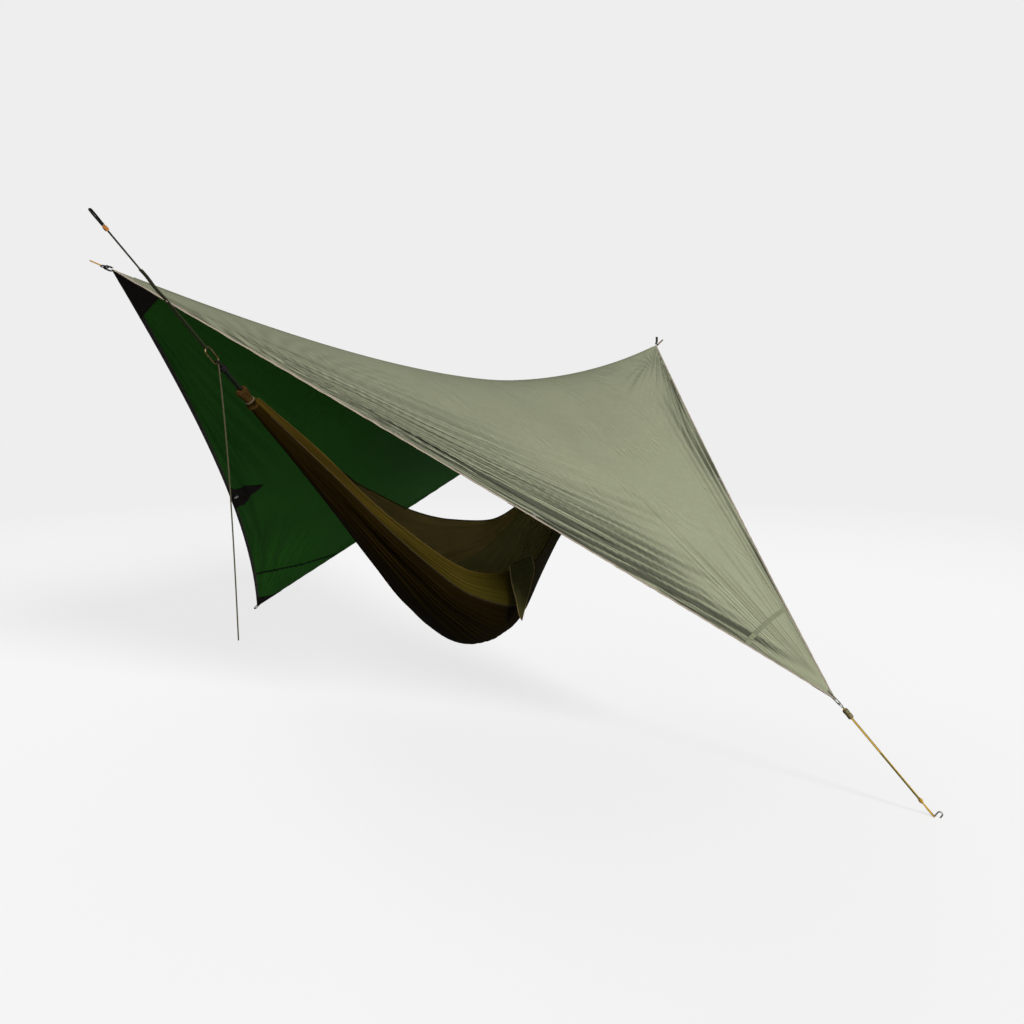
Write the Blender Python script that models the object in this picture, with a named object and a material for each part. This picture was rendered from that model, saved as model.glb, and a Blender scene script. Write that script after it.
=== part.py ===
"""Diamond-pitched tarp shelter over a gathered-end hammock.

Metres, +Z up, +X along the ridge. The origin is where the left ridge tie cord ends, at the tree.
"""

import math

import bmesh
import bpy
from mathutils import Matrix, Vector

# ---- driving dimensions of the canopy -------------------------------------------------------------
HALF_RIDGE = 2.04                      # half the straight distance between the two ridge corners
TIE_REACH = 0.0625                     # from the left canopy corner out to the end of its tie cord
RIDGE_SAG = 0.256                      # how far the middle of the ridge hangs below its ends
SAG_POWER = 1.75
RIDGE_ROUND = 0.10                     # share of the half width over which the fabric rolls over the ridge
REACH = {"front": 1.511, "back": 1.546}    # from the ridge line out to each low corner
DROP = {"front": 1.510, "back": 1.475}     # from the ridge ends down to each low corner
SIDE_SIGN = {"front": -1, "back": 1}
END_SIGN = {"left": -1, "right": 1}
HEM_BOW = {                            # how far the middle of each hem is drawn inwards
    ("front", "left"): 0.020,
    ("front", "right"): 0.028,
    ("back", "left"): 0.078,
    ("back", "right"): -0.030,
}
EDGE_SLOPE = 0.72                      # sine of the angle between the ridge and a hem, within a panel
HEM_CHORD = 2.96                       # straight length of a hem from ridge corner to low corner
HEM_TURN = 0.352                       # share of the half width passed for each metre straight in from a hem
CLOTH = 0.0010                         # thickness of a canopy panel
SEAM_ROW = 0.82                        # where the corner pieces are sewn on, as a share of the half width
HEM_WIDTH = 0.014
HEM_THICK = 0.0024
PATCH_EDGE = 0.150                     # length of a low corner's patch along the hem
RIDGE_PATCH_EDGE = {"left": 0.250, "right": 0.150}
PATCH_THICK = 0.0008
PATCH_DEPTH = 0.0026                   # patch mid-surface below the canopy mid-surface
SIDE_PATCH_HALF = 0.110
SIDE_PATCH_DEEP = 0.150
EYELET_INSET = 0.024
EYELET_ALONG = {("front", "left"): -0.075}     # from the middle of the hem, where it is not in the middle
EYELET_BORE = 0.0050
EYELET_NECK = 0.0057                   # outer radius of the tube that joins the two flanges
EYELET_HOLE = 0.0062                   # radius of the hole in the cloth
EYELET_FLANGE = 0.0090
GAP = 0.0003                           # clearance between touching pieces

# ---- corner fittings ------------------------------------------------------------------------------
LOOP_WIDTH = 0.012
LOOP_THICK = 0.0016
LOOP_OUT = {"left": 0.0145, "right": 0.0185, "front": 0.0185, "back": 0.0185}    # straight run past it
LOOP_HALF_GAP = 0.0045
LOOP_SET_DOWN = 0.0008                 # middle of a loop below the middle of the cloth
LOOP_SEWN = {"left": 0.003, "right": 0.003, "front": 0.045, "back": 0.045}    # webbing on the corner
HOOK_WIRE = 0.0016
HOOK_LAP = 0.0040                      # how far the hook's wire lies back inside the bend of its loop
HOOK_RADIUS = 0.0095
TIE_CORD_R = 0.0018
RIGHT_CORD_R = 0.0050
RIGHT_CORD_LENGTH = 0.090
RIGHT_CORD_WAY = Vector((0.937, 0, 0.350)).normalized()
RING_WIRE = 0.0020
RING_RADIUS = 0.011
RING_AT = 0.0155                       # where the ring's inner wire lies past the front corner

# ---- front guy line -------------------------------------------------------------------------------
GROUND_DROP = 1.907                    # ridge ends above the ground
PEG_SPOT_OUT = 0.373                   # peg beyond the front corner, measured level
GUY_R = 0.0035
GUY_SPACING = 0.0074
BARREL_BORE = 0.0077
BARREL_OUTER = 0.0112
BARREL_LENGTH = 0.042
KNOT_FROM_PEG = 0.085
KNOT_LENGTH = 0.024
EYE_CORD_R = 0.0024                    # the loop of cord round the peg
EYE_START_HALF = 0.0028                # half its width where it leaves the knot
PEG_NECK = 0.022                       # straight shaft above the cord
PEG_HOOK_R = 0.009
PEG_HOOK_TAIL = 0.012
PEG_R = 0.0028
PEG_LENGTH = 0.180
PEG_TILT = math.radians(30)

# ---- hammock --------------------------------------------------------------------------------------
LEFT_ANCHOR = (-0.171, -0.150, 0.110)  # from the left canopy corner; tree end of the left strap
RIGHT_ANCHOR = (4.340, 0.110, -0.100)  # the same for the right strap
BELLY_SHIFT = -0.001                   # the cloth lies this far to the back, which centres its weight
HAMMOCK_CLOTH = 0.0012
SIDE_BAND = 0.70                       # share of the half girth at which the side panels begin
# Stations along the hammock: distance from the left anchor, then a height or half width there.
KEEL = [(0.54, -0.372), (0.75, -0.548), (1.00, -0.755), (1.25, -0.978), (1.50, -1.195),
        (1.85, -1.395), (2.20, -1.285), (2.60, -1.02), (3.00, -0.79), (3.45, -0.547)]
NEAR_LIP = [(0.54, -0.332), (0.80, -0.515), (1.10, -0.755), (1.45, -0.98), (1.80, -1.02),
            (2.20, -0.98), (2.60, -0.84), (3.00, -0.67), (3.45, -0.507)]
FAR_LIP = [(0.54, -0.332), (0.90, -0.515), (1.25, -0.63), (1.65, -0.76), (2.10, -0.89),
           (2.60, -0.92), (3.00, -0.77), (3.45, -0.507)]
HALF_WIDTH = [(0.54, 0.020), (0.80, 0.058), (1.10, 0.118), (1.45, 0.215), (1.80, 0.285),
              (2.30, 0.190), (2.70, 0.175), (3.05, 0.130), (3.45, 0.020)]
HULL_STATIONS = 30

# Distances along a suspension line, back from the start of the cloth.
GATHER_LENGTH = 0.066
WHIPPING_AT = 0.048                    # from the start of the gather
WHIPPING_R = 0.0015
ROPE_LENGTH = 0.112
CARABINER_HALF = 0.017                 # half of the straight side
CARABINER_BEND = 0.011
WIRE = 0.0025
PIN_AT = -0.012                        # along the carabiner from its middle
PIN_R = 0.0008
PIN_HOLE = 0.0011
GATE_R = 0.0021
GATE_END = 0.0130                      # the gate's free end, along the carabiner from its middle
ROPE_R = 0.003
LEG_R = 0.002
SINGLE_CORD_R = 0.0025
SLEEVE_WIDTH = 0.020
SLEEVE_THICK = 0.004
STRAP_HALF_GAP = 0.0045
STRAP_WIDTH = 0.012
LEFT_STOPS = {"strap": 0.052, "adjuster": 0.070, "cord": 0.190, "sleeve": 0.295}
RIGHT_STOPS = {"strap": 0.250, "adjuster": 0.270}
TAIL_R = 0.0022
TAIL_DROPS = [0.0012, 0.02, 0.05, 0.09, 0.14, 0.20, 0.27, 0.34, 0.41, 0.48, 0.55, 0.63, 0.71, 0.795]
TAIL_LEAN = 0.042                      # how far the wind carries its end along the hammock
TAIL_STRAIGHTENS = 0.35
POUCH_TOP = -0.985                     # height of the pouch's upper edge from the ridge ends
POUCH_MIDDLE = 1.78                    # its station along the hammock
POUCH_CLEAR = 0.016                    # from the cloth's widest line out to the pouch
POUCH_THICK = 0.004

TIE_SLOPE = SAG_POWER * RIDGE_SAG / HALF_RIDGE
TIE_OUT = Vector((-1, 0, TIE_SLOPE)).normalized()
LEFT_TIP = -TIE_OUT * TIE_REACH
MIDDLE = LEFT_TIP + Vector((HALF_RIDGE, 0, 0))


# ---- helpers --------------------------------------------------------------------------------------
def clear_scene():
    for obj in list(bpy.data.objects):
        bpy.data.objects.remove(obj, do_unlink=True)


def material(name, colour, roughness, metallic=0.0):
    found = bpy.data.materials.get(name)
    if found:
        return found
    made = bpy.data.materials.new(name)
    made.use_nodes = True
    shader = made.node_tree.nodes["Principled BSDF"]
    shader.inputs["Base Color"].default_value = (*colour, 1)
    shader.inputs["Roughness"].default_value = roughness
    shader.inputs["Metallic"].default_value = metallic
    return made


def link(name, data, finish):
    obj = bpy.data.objects.new(name, data)
    bpy.context.scene.collection.objects.link(obj)
    data.materials.append(finish)
    return obj


def mesh_object(name, bm, finish, sharp=40):
    bmesh.ops.recalc_face_normals(bm, faces=bm.faces)
    data = bpy.data.meshes.new(name)
    bm.to_mesh(data)
    bm.free()
    data.shade_smooth()
    data.set_sharp_from_angle(angle=math.radians(sharp))
    return link(name, data, finish)


def sheet(name, rows, thickness, finish, offset=0.0):
    """A closed sheet: rows of (point, normal) become two skins joined round their rim."""
    bm = bmesh.new()
    skins = []
    for height in (offset + thickness / 2, offset - thickness / 2):
        skins.append([[bm.verts.new(p + n * height) for p, n in row] for row in rows])
    top, low = skins
    last_i = len(rows) - 1
    last_j = len(rows[0]) - 1
    for i in range(last_i):
        for j in range(last_j):
            for skin in skins:
                a, b, c, d = skin[i][j], skin[i + 1][j], skin[i + 1][j + 1], skin[i][j + 1]
                bm.faces.new((a, b, c))
                bm.faces.new((a, c, d))
    rim = [(0, j) for j in range(last_j)]
    rim += [(i, last_j) for i in range(last_i)]
    rim += [(last_i, j) for j in range(last_j, 0, -1)]
    rim += [(i, 0) for i in range(last_i, 0, -1)]
    for (i, j), (k, m) in zip(rim, rim[1:] + rim[:1]):
        bm.faces.new((top[i][j], top[k][m], low[k][m], low[i][j]))
    return mesh_object(name, bm, finish)


def sweep(name, path, section, across, finish, closed=False):
    """A flat path swept with a section given as (across, side) pairs; across is the path plane's normal."""
    bm = bmesh.new()
    rings = []
    count = len(path)
    for i, point in enumerate(path):
        before = path[i - 1] if (i or closed) else point
        after = path[(i + 1) % count] if (i < count - 1 or closed) else point
        along = (after - before).normalized()
        side = along.cross(across).normalized()
        rings.append([bm.verts.new(point + across * a + side * s) for a, s in section])
    pairs = list(zip(rings, rings[1:]))
    if closed:
        pairs.append((rings[-1], rings[0]))
    for first, second in pairs:
        for k in range(len(section)):
            m = (k + 1) % len(section)
            bm.faces.new((first[k], first[m], second[m], second[k]))
    if not closed:
        bm.faces.new(rings[0])
        bm.faces.new(rings[-1])
    return mesh_object(name, bm, finish)


def round_section(radius, sides=10):
    turns = [2 * math.pi * k / sides for k in range(sides)]
    return [(radius * math.cos(t), radius * math.sin(t)) for t in turns]


def flat_section(width, thick):
    a, t = width / 2, thick / 2
    return [(-a, -t), (a, -t), (a, t), (-a, t)]


def turned(name, profile, start, axis, finish, steps=16, closed=True):
    """A profile of (along, radius) pairs turned about the axis from start."""
    bm = bmesh.new()
    turn = axis.to_track_quat("Z", "Y").to_matrix()
    rings = []
    for k in range(steps):
        angle = 2 * math.pi * k / steps
        spoke = turn @ Vector((math.cos(angle), math.sin(angle), 0))
        rings.append([bm.verts.new(start + axis * z + spoke * r) for z, r in profile])
    for first, second in zip(rings, rings[1:] + rings[:1]):
        for k in range(len(profile) if closed else len(profile) - 1):
            m = (k + 1) % len(profile)
            bm.faces.new((first[k], first[m], second[m], second[k]))
    if not closed:
        bm.faces.new([ring[0] for ring in rings])
        bm.faces.new([ring[-1] for ring in rings])
    return mesh_object(name, bm, finish)


def cord(name, points, radius, finish):
    """A cord: a straight-pointed curve with round section and closed ends."""
    data = bpy.data.curves.new(name, "CURVE")
    data.dimensions = "3D"
    data.bevel_depth = radius
    data.bevel_resolution = 2
    data.use_fill_caps = True
    spline = data.splines.new("POLY")
    spline.points.add(len(points) - 1)
    for slot, point in zip(spline.points, points):
        slot.co = (*point, 1)
    return link(name, data, finish)


def between(start, end, count):
    return [start.lerp(end, k / (count - 1)) for k in range(count)]


def smooth(table, at):
    """Value at a station, on a smooth curve through (station, value) pairs."""
    k = 0
    while k < len(table) - 2 and at > table[k + 1][0]:
        k += 1
    (x0, y0), (x1, y1) = table[k], table[k + 1]
    span = x1 - x0
    slope0 = slope1 = (y1 - y0) / span
    if k > 0:
        slope0 = (y1 - table[k - 1][1]) / (x1 - table[k - 1][0])
    if k < len(table) - 2:
        slope1 = (table[k + 2][1] - y0) / (table[k + 2][0] - x0)
    t = (at - x0) / span
    keep0 = 2 * t**3 - 3 * t**2 + 1
    lean0 = t**3 - 2 * t**2 + t
    lean1 = t**3 - t**2
    return keep0 * y0 + lean0 * span * slope0 + (1 - keep0) * y1 + lean1 * span * slope1


def cutter(name, start, axis, radius, length):
    bm = bmesh.new()
    bmesh.ops.create_cone(bm, cap_ends=True, segments=16, radius1=radius, radius2=radius, depth=length)
    turn = axis.to_track_quat("Z", "Y").to_matrix().to_4x4()
    bmesh.ops.transform(bm, matrix=Matrix.Translation(start) @ turn, verts=bm.verts)
    obj = mesh_object(name, bm, material("cutter", (1, 0, 0), 1))
    obj.hide_render = True
    obj.display_type = "WIRE"
    return obj


def cut(obj, tool, operation="DIFFERENCE"):
    modifier = obj.modifiers.new("cut by " + tool.name, "BOOLEAN")
    modifier.operation = operation
    modifier.object = tool
    modifier.solver = "EXACT"


# ---- canopy surface -------------------------------------------------------------------------------
def half_span(v):
    return HALF_RIDGE * (1 - v)


def rounded(v):
    """0 at the ridge and 1 at the corner, with the start rolled over smoothly."""
    whole = math.sqrt(1 + RIDGE_ROUND**2) - RIDGE_ROUND
    return (math.sqrt(v * v + RIDGE_ROUND**2) - RIDGE_ROUND) / whole


def canopy_point(side, v, x):
    """Point at share v of the way from the ridge to the side's low corner, x from the middle."""
    w = min(abs(x) / max(half_span(v), 1e-6), 1.2)
    rise = RIDGE_SAG * (1 - v) * w**SAG_POWER
    fall = (DROP[side] - RIDGE_SAG) * (rounded(v) * (1 - w * w) + v * w * w)
    return MIDDLE + Vector((x, SIDE_SIGN[side] * REACH[side] * v, rise - fall - RIDGE_SAG))


def canopy_place(side, v, x):
    """Point and upward normal on the canopy."""
    step = 0.002
    low = max(v - step, 0.0)
    along = canopy_point(side, v, x + step) - canopy_point(side, v, x - step)
    down = canopy_point(side, low + 2 * step, x) - canopy_point(side, low, x)
    normal = along.cross(down) * -SIDE_SIGN[side]
    if normal.z < 0:
        normal = -normal
    if v < 0.001:
        normal.y = 0
    if abs(x) < 0.001:
        normal.x = 0
    return canopy_point(side, v, x), normal.normalized()


def hem_x(side, end, v, inset):
    """Distance from the middle of the line that runs an inset inside a hem."""
    bow = HEM_BOW[side, end] * 4 * v * (1 - v)
    return half_span(v) - (bow + inset) / EDGE_SLOPE


def hem_end_v(side, end, inset):
    """Share v at which that line meets the other hem's."""
    v = 1.0
    for _ in range(8):
        bow = HEM_BOW[side, end] * 4 * v * (1 - v)
        v = 1 - (GAP + (bow + inset) / EDGE_SLOPE) / HALF_RIDGE
    return v


def canopy_rows(side, v_list, columns, inset):
    rows = []
    for v in v_list:
        left = -max(hem_x(side, "left", v, inset), 0.001)
        right = max(hem_x(side, "right", v, inset), 0.001)
        xs = [left + (right - left) * k / columns for k in range(columns + 1)]
        rows.append([canopy_place(side, v, x) for x in xs])
    return rows


def hem_spot(side, end, along, inset):
    """Point and normal at a distance along a hem from its middle, and an inset in from it."""
    v_edge = 0.5 + along / HEM_CHORD
    x = hem_x(side, end, v_edge, 0) - inset * EDGE_SLOPE
    return canopy_place(side, v_edge - inset * HEM_TURN, END_SIGN[end] * x)


def make_canopy():
    outer = material("tarp cloth", (0.30, 0.32, 0.20), 0.6)
    inset = HEM_WIDTH + 0.001
    panel_rows = 13
    for side in ("front", "back"):
        worst = min(hem_end_v(side, end, inset + 0.003) for end in END_SIGN)
        start = GAP / REACH[side]
        v_list = [start + (SEAM_ROW - start) * (k / panel_rows)**1.4 for k in range(panel_rows + 1)]
        sheet(f"canopy_{side}_panel", canopy_rows(side, v_list, 24, inset), CLOTH, outer)
        seam = SEAM_ROW + 0.0004
        v_list = [seam + (worst - seam) * k / 4 for k in range(5)]
        sheet(f"canopy_{side}_corner", canopy_rows(side, v_list, 10, inset), CLOTH, outer)


def make_ridge_tape():
    tape = material("seam tape", (0.20, 0.22, 0.13), 0.6)
    rows = []
    reach = HALF_RIDGE - 0.07
    for k in range(49):
        x = -reach + 2 * reach * k / 48
        row = []
        for share in (-1, 0, 1):
            side = "back" if share > 0 else "front"
            point, normal = canopy_place(side, abs(share) * 0.008 / REACH[side], x)
            row.append((point, normal))
        rows.append(row)
    sheet("ridge_seam_tape", rows, 0.0008, tape, offset=0.0020)


def make_hems():
    tan = material("hem tape", (0.38, 0.30, 0.20), 0.7)
    stations = 22
    for side, end in HEM_BOW:
        rows = []
        for inset in (0.0, HEM_WIDTH):
            start = GAP / REACH[side]
            stop = hem_end_v(side, end, inset)
            row = []
            for k in range(stations + 1):
                v = start + (stop - start) * k / stations
                row.append(canopy_place(side, v, END_SIGN[end] * hem_x(side, end, v, inset)))
            rows.append(row)
        sheet(f"hem_{side}_{end}", rows, HEM_THICK, tan)


def edge_v(side, end, x):
    v = 1 - x / HALF_RIDGE
    for _ in range(6):
        bow = HEM_BOW[side, end] * 4 * v * (1 - v)
        v = 1 - (x + (bow + 0.001) / EDGE_SLOPE) / HALF_RIDGE
    return v


def make_corner_patches():
    black = material("reinforcement", (0.012, 0.010, 0.008), 0.7)
    for end, sign in END_SIGN.items():
        rows = []
        for k in range(6):
            x = HALF_RIDGE - 0.012 - (RIDGE_PATCH_EDGE[end] * 0.69 - 0.012) * k / 5
            row = []
            for share in (-1, -0.66, -0.33, 0, 0.33, 0.66, 1):
                side = "back" if share > 0 else "front"
                v = abs(share) * edge_v(side, end, x)
                point, normal = canopy_place(side, v, sign * x)
                row.append((point, normal))
            rows.append(row)
        sheet(f"patch_{end}", rows, PATCH_THICK, black, offset=-PATCH_DEPTH)
    for side in SIDE_SIGN:
        top = 1 - PATCH_EDGE / HEM_CHORD
        v_list = [top + (0.992 - top) * k / 4 for k in range(5)]
        sheet(f"patch_{side}", canopy_rows(side, v_list, 6, 0.001), PATCH_THICK, black, offset=-PATCH_DEPTH)


def make_side_patches_and_eyelets():
    black = material("reinforcement", (0.012, 0.010, 0.008), 0.7)
    metal = material("eyelet", (0.62, 0.62, 0.60), 0.3, 1.0)
    profile = [(-0.0043, EYELET_BORE), (-0.0043, EYELET_FLANGE), (-0.0034, EYELET_FLANGE),
               (-0.0034, EYELET_NECK), (0.0010, EYELET_NECK), (0.0010, EYELET_FLANGE),
               (0.0019, EYELET_FLANGE), (0.0019, EYELET_BORE)]
    for side, end in HEM_BOW:
        rows = []
        middle = EYELET_ALONG.get((side, end), 0)
        first = HEM_WIDTH + 0.0012
        for k in range(7):
            inset = first + (SIDE_PATCH_DEEP - first) * k / 6
            half = SIDE_PATCH_HALF * (1 - k / 6) + 0.002
            rows.append([hem_spot(side, end, middle + half * s, inset) for s in (-1, -0.66, -0.33, 0, 0.33, 0.66, 1)])
        patch = sheet(f"side_patch_{side}_{end}", rows, PATCH_THICK, black, offset=-PATCH_DEPTH)
        centre, normal = hem_spot(side, end, middle, EYELET_INSET)
        turned(f"eyelet_{side}_{end}", profile, centre, normal, metal)
        tool = cutter(f"eyelet_hole_{side}_{end}", centre, normal, EYELET_HOLE, 0.024)
        cut(patch, tool)
        cut(bpy.data.objects[f"canopy_{side}_panel"], tool)


# ---- corner loops and ties ------------------------------------------------------------------------
def corner_frame(corner):
    """Tip, outward direction, up normal and width direction of a canopy corner."""
    if corner in END_SIGN:
        sign = END_SIGN[corner]
        tip = MIDDLE + Vector((sign * HALF_RIDGE, 0, 0))
        outward = Vector((sign, 0, TIE_SLOPE)).normalized()
        width = Vector((0, 1, 0))
    else:
        before = canopy_point(corner, 0.99, 0)
        tip = canopy_point(corner, 1.0, 0)
        outward = (tip - before).normalized()
        width = Vector((1, 0, 0))
    up = outward.cross(width)
    if up.z < 0:
        up = -up
    return tip, outward, up, width


def u_path(start, out, up, low, high, run, back):
    """A flat U: out along one leg, round, and back along the other."""
    radius = (high - low) / 2
    middle = (high + low) / 2
    path = [start - out * back + up * low, start + up * low, start + out * run + up * low]
    for k in range(1, 8):
        angle = -math.pi / 2 + math.pi * k / 8
        path.append(start + out * (run + radius * math.cos(angle)) + up * (middle + radius * math.sin(angle)))
    path += [start + out * run + up * high, start + up * high, start - out * back + up * high]
    return path


def make_corner_loops():
    webbing = material("corner webbing", (0.020, 0.018, 0.016), 0.75)
    for corner in ("left", "right", "front", "back"):
        tip, outward, up, width = corner_frame(corner)
        low = -LOOP_HALF_GAP - LOOP_SET_DOWN
        high = LOOP_HALF_GAP - LOOP_SET_DOWN
        path = u_path(tip, outward, up, low, high, LOOP_OUT[corner], LOOP_SEWN[corner])
        sweep(f"corner_loop_{corner}", path, flat_section(LOOP_WIDTH, LOOP_THICK), width, webbing)


def make_ridge_ties():
    black = material("tie hook", (0.02, 0.02, 0.02), 0.45)
    yellow = material("tie cord", (0.62, 0.36, 0.06), 0.7)
    tan = material("right tie cord", (0.33, 0.22, 0.12), 0.7)
    tip, outward, up, width = corner_frame("left")
    inside = tip + outward * (LOOP_OUT["left"] - HOOK_LAP) - up * LOOP_SET_DOWN
    centre = inside + outward * HOOK_RADIUS
    ring = []
    for k in range(20):
        angle = 2 * math.pi * k / 20
        ring.append(centre + (outward * math.cos(angle) + width * math.sin(angle)) * HOOK_RADIUS)
    sweep("left_tie_hook", ring, round_section(HOOK_WIRE, 8), up, black, closed=True)
    start = centre + outward * (HOOK_RADIUS + HOOK_WIRE + GAP)
    cord("left_tie_cord", between(start, Vector((0, 0, 0)), 6), TIE_CORD_R, yellow)

    tip, outward, up, width = corner_frame("right")
    reach = LOOP_OUT["right"] + LOOP_HALF_GAP + LOOP_THICK / 2 + RIGHT_CORD_R + GAP
    start = tip + outward * reach - up * LOOP_SET_DOWN
    cord("right_tie_cord", between(start, start + RIGHT_CORD_WAY * RIGHT_CORD_LENGTH, 12), RIGHT_CORD_R, tan)


# ---- front guy line -------------------------------------------------------------------------------
def guy_frame():
    """Ring centre, line direction, line start and peg spot."""
    tip, outward, up, width = corner_frame("front")
    centre = tip + outward * (RING_AT + RING_RADIUS) - up * LOOP_SET_DOWN
    peg = Vector((tip.x, tip.y - PEG_SPOT_OUT, LEFT_TIP.z - GROUND_DROP))
    direction = (peg - centre).normalized()
    return tip, outward, up, width, centre, direction, peg


def make_guy_line():
    steel = material("ring", (0.45, 0.45, 0.44), 0.35, 1.0)
    gold = material("guy line gold", (0.45, 0.26, 0.04), 0.7)
    olive = material("guy line olive", (0.16, 0.15, 0.03), 0.7)
    dark = material("line tensioner", (0.03, 0.03, 0.028), 0.5)
    tip, outward, up, width, centre, direction, peg = guy_frame()
    ring = []
    for k in range(24):
        angle = 2 * math.pi * k / 24
        ring.append(centre + (outward * math.cos(angle) + width * math.sin(angle)) * RING_RADIUS)
    sweep("front_ring", ring, round_section(RING_WIRE, 8), up, steel, closed=True)

    start = centre + direction * (RING_RADIUS + RING_WIRE + 0.0012)
    knot_at = peg - direction * KNOT_FROM_PEG
    for name, sign, finish in (("guy_line_a", -1, gold), ("guy_line_b", 1, olive)):
        off = width * sign * GUY_SPACING / 2
        cord(name, between(start + off, knot_at + off, 24), GUY_R, finish)
    barrel = [(0, BARREL_BORE), (0, BARREL_OUTER - 0.002), (0.004, BARREL_OUTER), (0.018, BARREL_OUTER),
              (BARREL_LENGTH / 2, BARREL_OUTER - 0.0015), (0.024, BARREL_OUTER),
              (BARREL_LENGTH - 0.004, BARREL_OUTER), (BARREL_LENGTH, BARREL_OUTER - 0.002),
              (BARREL_LENGTH, BARREL_BORE)]
    turned("line_tensioner", barrel, start + direction * 0.006, direction, dark, steps=20)

    knot = [(GAP, 0.004), (0.004, 0.0078), (0.012, 0.0095), (0.020, 0.0078), (KNOT_LENGTH, 0.0055)]
    turned("guy_knot", knot, knot_at, direction, gold, steps=12, closed=False)
    wrap = PEG_R + EYE_CORD_R + 2 * GAP
    run = (peg - knot_at).length - KNOT_LENGTH - GAP
    path = []
    first = knot_at + direction * (KNOT_LENGTH + GAP)
    for share in (0, 0.1, 0.25, 0.45, 0.7, 0.9):
        spread = EYE_START_HALF + (wrap - EYE_START_HALF) * min(1, share * 2)
        path.append(first + direction * run * share - width * spread)
    turnback = []
    for k in range(9):
        angle = math.pi * k / 8
        turnback.append(peg + direction * wrap * math.sin(angle) - width * wrap * math.cos(angle))
    mirrored = [p + width * 2 * ((peg - p).dot(width)) for p in reversed(path)]
    cord("peg_loop", path + turnback + mirrored, EYE_CORD_R, gold)

    into = Vector((0, math.sin(PEG_TILT), -math.cos(PEG_TILT)))
    back = Vector((0, -math.cos(PEG_TILT), -math.sin(PEG_TILT)))
    neck = peg - into * PEG_NECK
    hook = [peg + into * PEG_LENGTH, peg + into * (PEG_LENGTH - 0.02), peg, neck]
    for k in range(1, 9):
        angle = math.pi * k / 8
        turned_out = back * (1 - math.cos(angle)) - into * math.sin(angle)
        hook.append(neck + turned_out * PEG_HOOK_R)
    hook.append(hook[-1] + into * PEG_HOOK_TAIL)
    sweep("ground_peg", hook, round_section(PEG_R, 8), width, steel)


# ---- hammock --------------------------------------------------------------------------------------
HANG_LEFT = LEFT_TIP + Vector(LEFT_ANCHOR)
HANG_RIGHT = LEFT_TIP + Vector(RIGHT_ANCHOR)
ALONG = Vector((HANG_RIGHT.x - HANG_LEFT.x, HANG_RIGHT.y - HANG_LEFT.y, 0)).normalized()
ACROSS = Vector((-ALONG.y, ALONG.x, 0))


def hammock_point(s, across, height):
    """s from the left anchor, across towards the back, height from the ridge ends."""
    return Vector((HANG_LEFT.x, HANG_LEFT.y, LEFT_TIP.z + height)) + ALONG * s + ACROSS * across


def hull_point(s, share):
    """Cloth at station s; share runs from -1 at the near lip through 0 at the keel to 1 at the far lip."""
    half = smooth(HALF_WIDTH, s)
    keel = smooth(KEEL, s)
    lip = smooth(FAR_LIP if share > 0 else NEAR_LIP, s)
    turn = share * math.pi / 2
    shift = BELLY_SHIFT * min(1, half / 0.1)
    return hammock_point(s, half * math.sin(turn) + shift, keel + (lip - keel) * (1 - math.cos(turn)))


def hull_place(s, share):
    step = 0.004
    along = hull_point(s + step, share) - hull_point(s - step, share)
    round_it = hull_point(s, share + step) - hull_point(s, share - step)
    return hull_point(s, share), along.cross(round_it).normalized()


def make_hull():
    brown = material("hammock body", (0.055, 0.035, 0.012), 0.7)
    olive = material("hammock band", (0.10, 0.08, 0.02), 0.7)
    edge = 0.004
    spans = {
        "hammock_near_panel": (-1, -SIDE_BAND - edge, 3, olive),
        "hammock_centre_panel": (-SIDE_BAND, SIDE_BAND, 9, brown),
        "hammock_far_panel": (SIDE_BAND + edge, 1, 3, olive),
    }
    first, last = KEEL[0][0], KEEL[-1][0]
    for name, (low, high, count, finish) in spans.items():
        rows = []
        for i in range(HULL_STATIONS + 1):
            s = first + (last - first) * i / HULL_STATIONS
            rows.append([hull_place(s, low + (high - low) * k / count) for k in range(count + 1)])
        sheet(name, rows, HAMMOCK_CLOTH, finish)


def suspension_frame(end):
    """Anchor, direction from the anchor to the cloth, direction out of the carabiner's gate side, length."""
    anchor = HANG_LEFT if end == "left" else HANG_RIGHT
    s, z = (KEEL[0][0], (KEEL[0][1] + NEAR_LIP[0][1]) / 2)
    if end == "right":
        s, z = (KEEL[-1][0], (KEEL[-1][1] + NEAR_LIP[-1][1]) / 2)
    mouth = hammock_point(s, 0, z)
    line = mouth - anchor
    direction = line.normalized()
    up = direction.cross(ACROSS)
    if up.z < 0:
        up = -up
    return anchor, direction, up, line.length


def carabiner_path(centre, direction, up):
    """From above the gate, round the far side, to the gate's hinge end."""
    path = [centre + direction * (GATE_END + 0.0004) + up * CARABINER_BEND]
    path.append(centre + direction * CARABINER_HALF + up * CARABINER_BEND)
    for k in range(1, 8):
        angle = math.pi * k / 8
        path.append(centre + direction * (CARABINER_HALF + CARABINER_BEND * math.sin(angle))
                    + up * CARABINER_BEND * math.cos(angle))
    path.append(centre + direction * CARABINER_HALF - up * CARABINER_BEND)
    path.append(centre - up * CARABINER_BEND)
    path.append(centre - direction * CARABINER_HALF - up * CARABINER_BEND)
    for k in range(1, 8):
        angle = math.pi * k / 8
        path.append(centre - direction * (CARABINER_HALF + CARABINER_BEND * math.sin(angle))
                    - up * CARABINER_BEND * math.cos(angle))
    path.append(centre - direction * CARABINER_HALF + up * CARABINER_BEND)
    path.append(centre + direction * (PIN_AT + 0.0018) + up * CARABINER_BEND)
    return path


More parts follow.
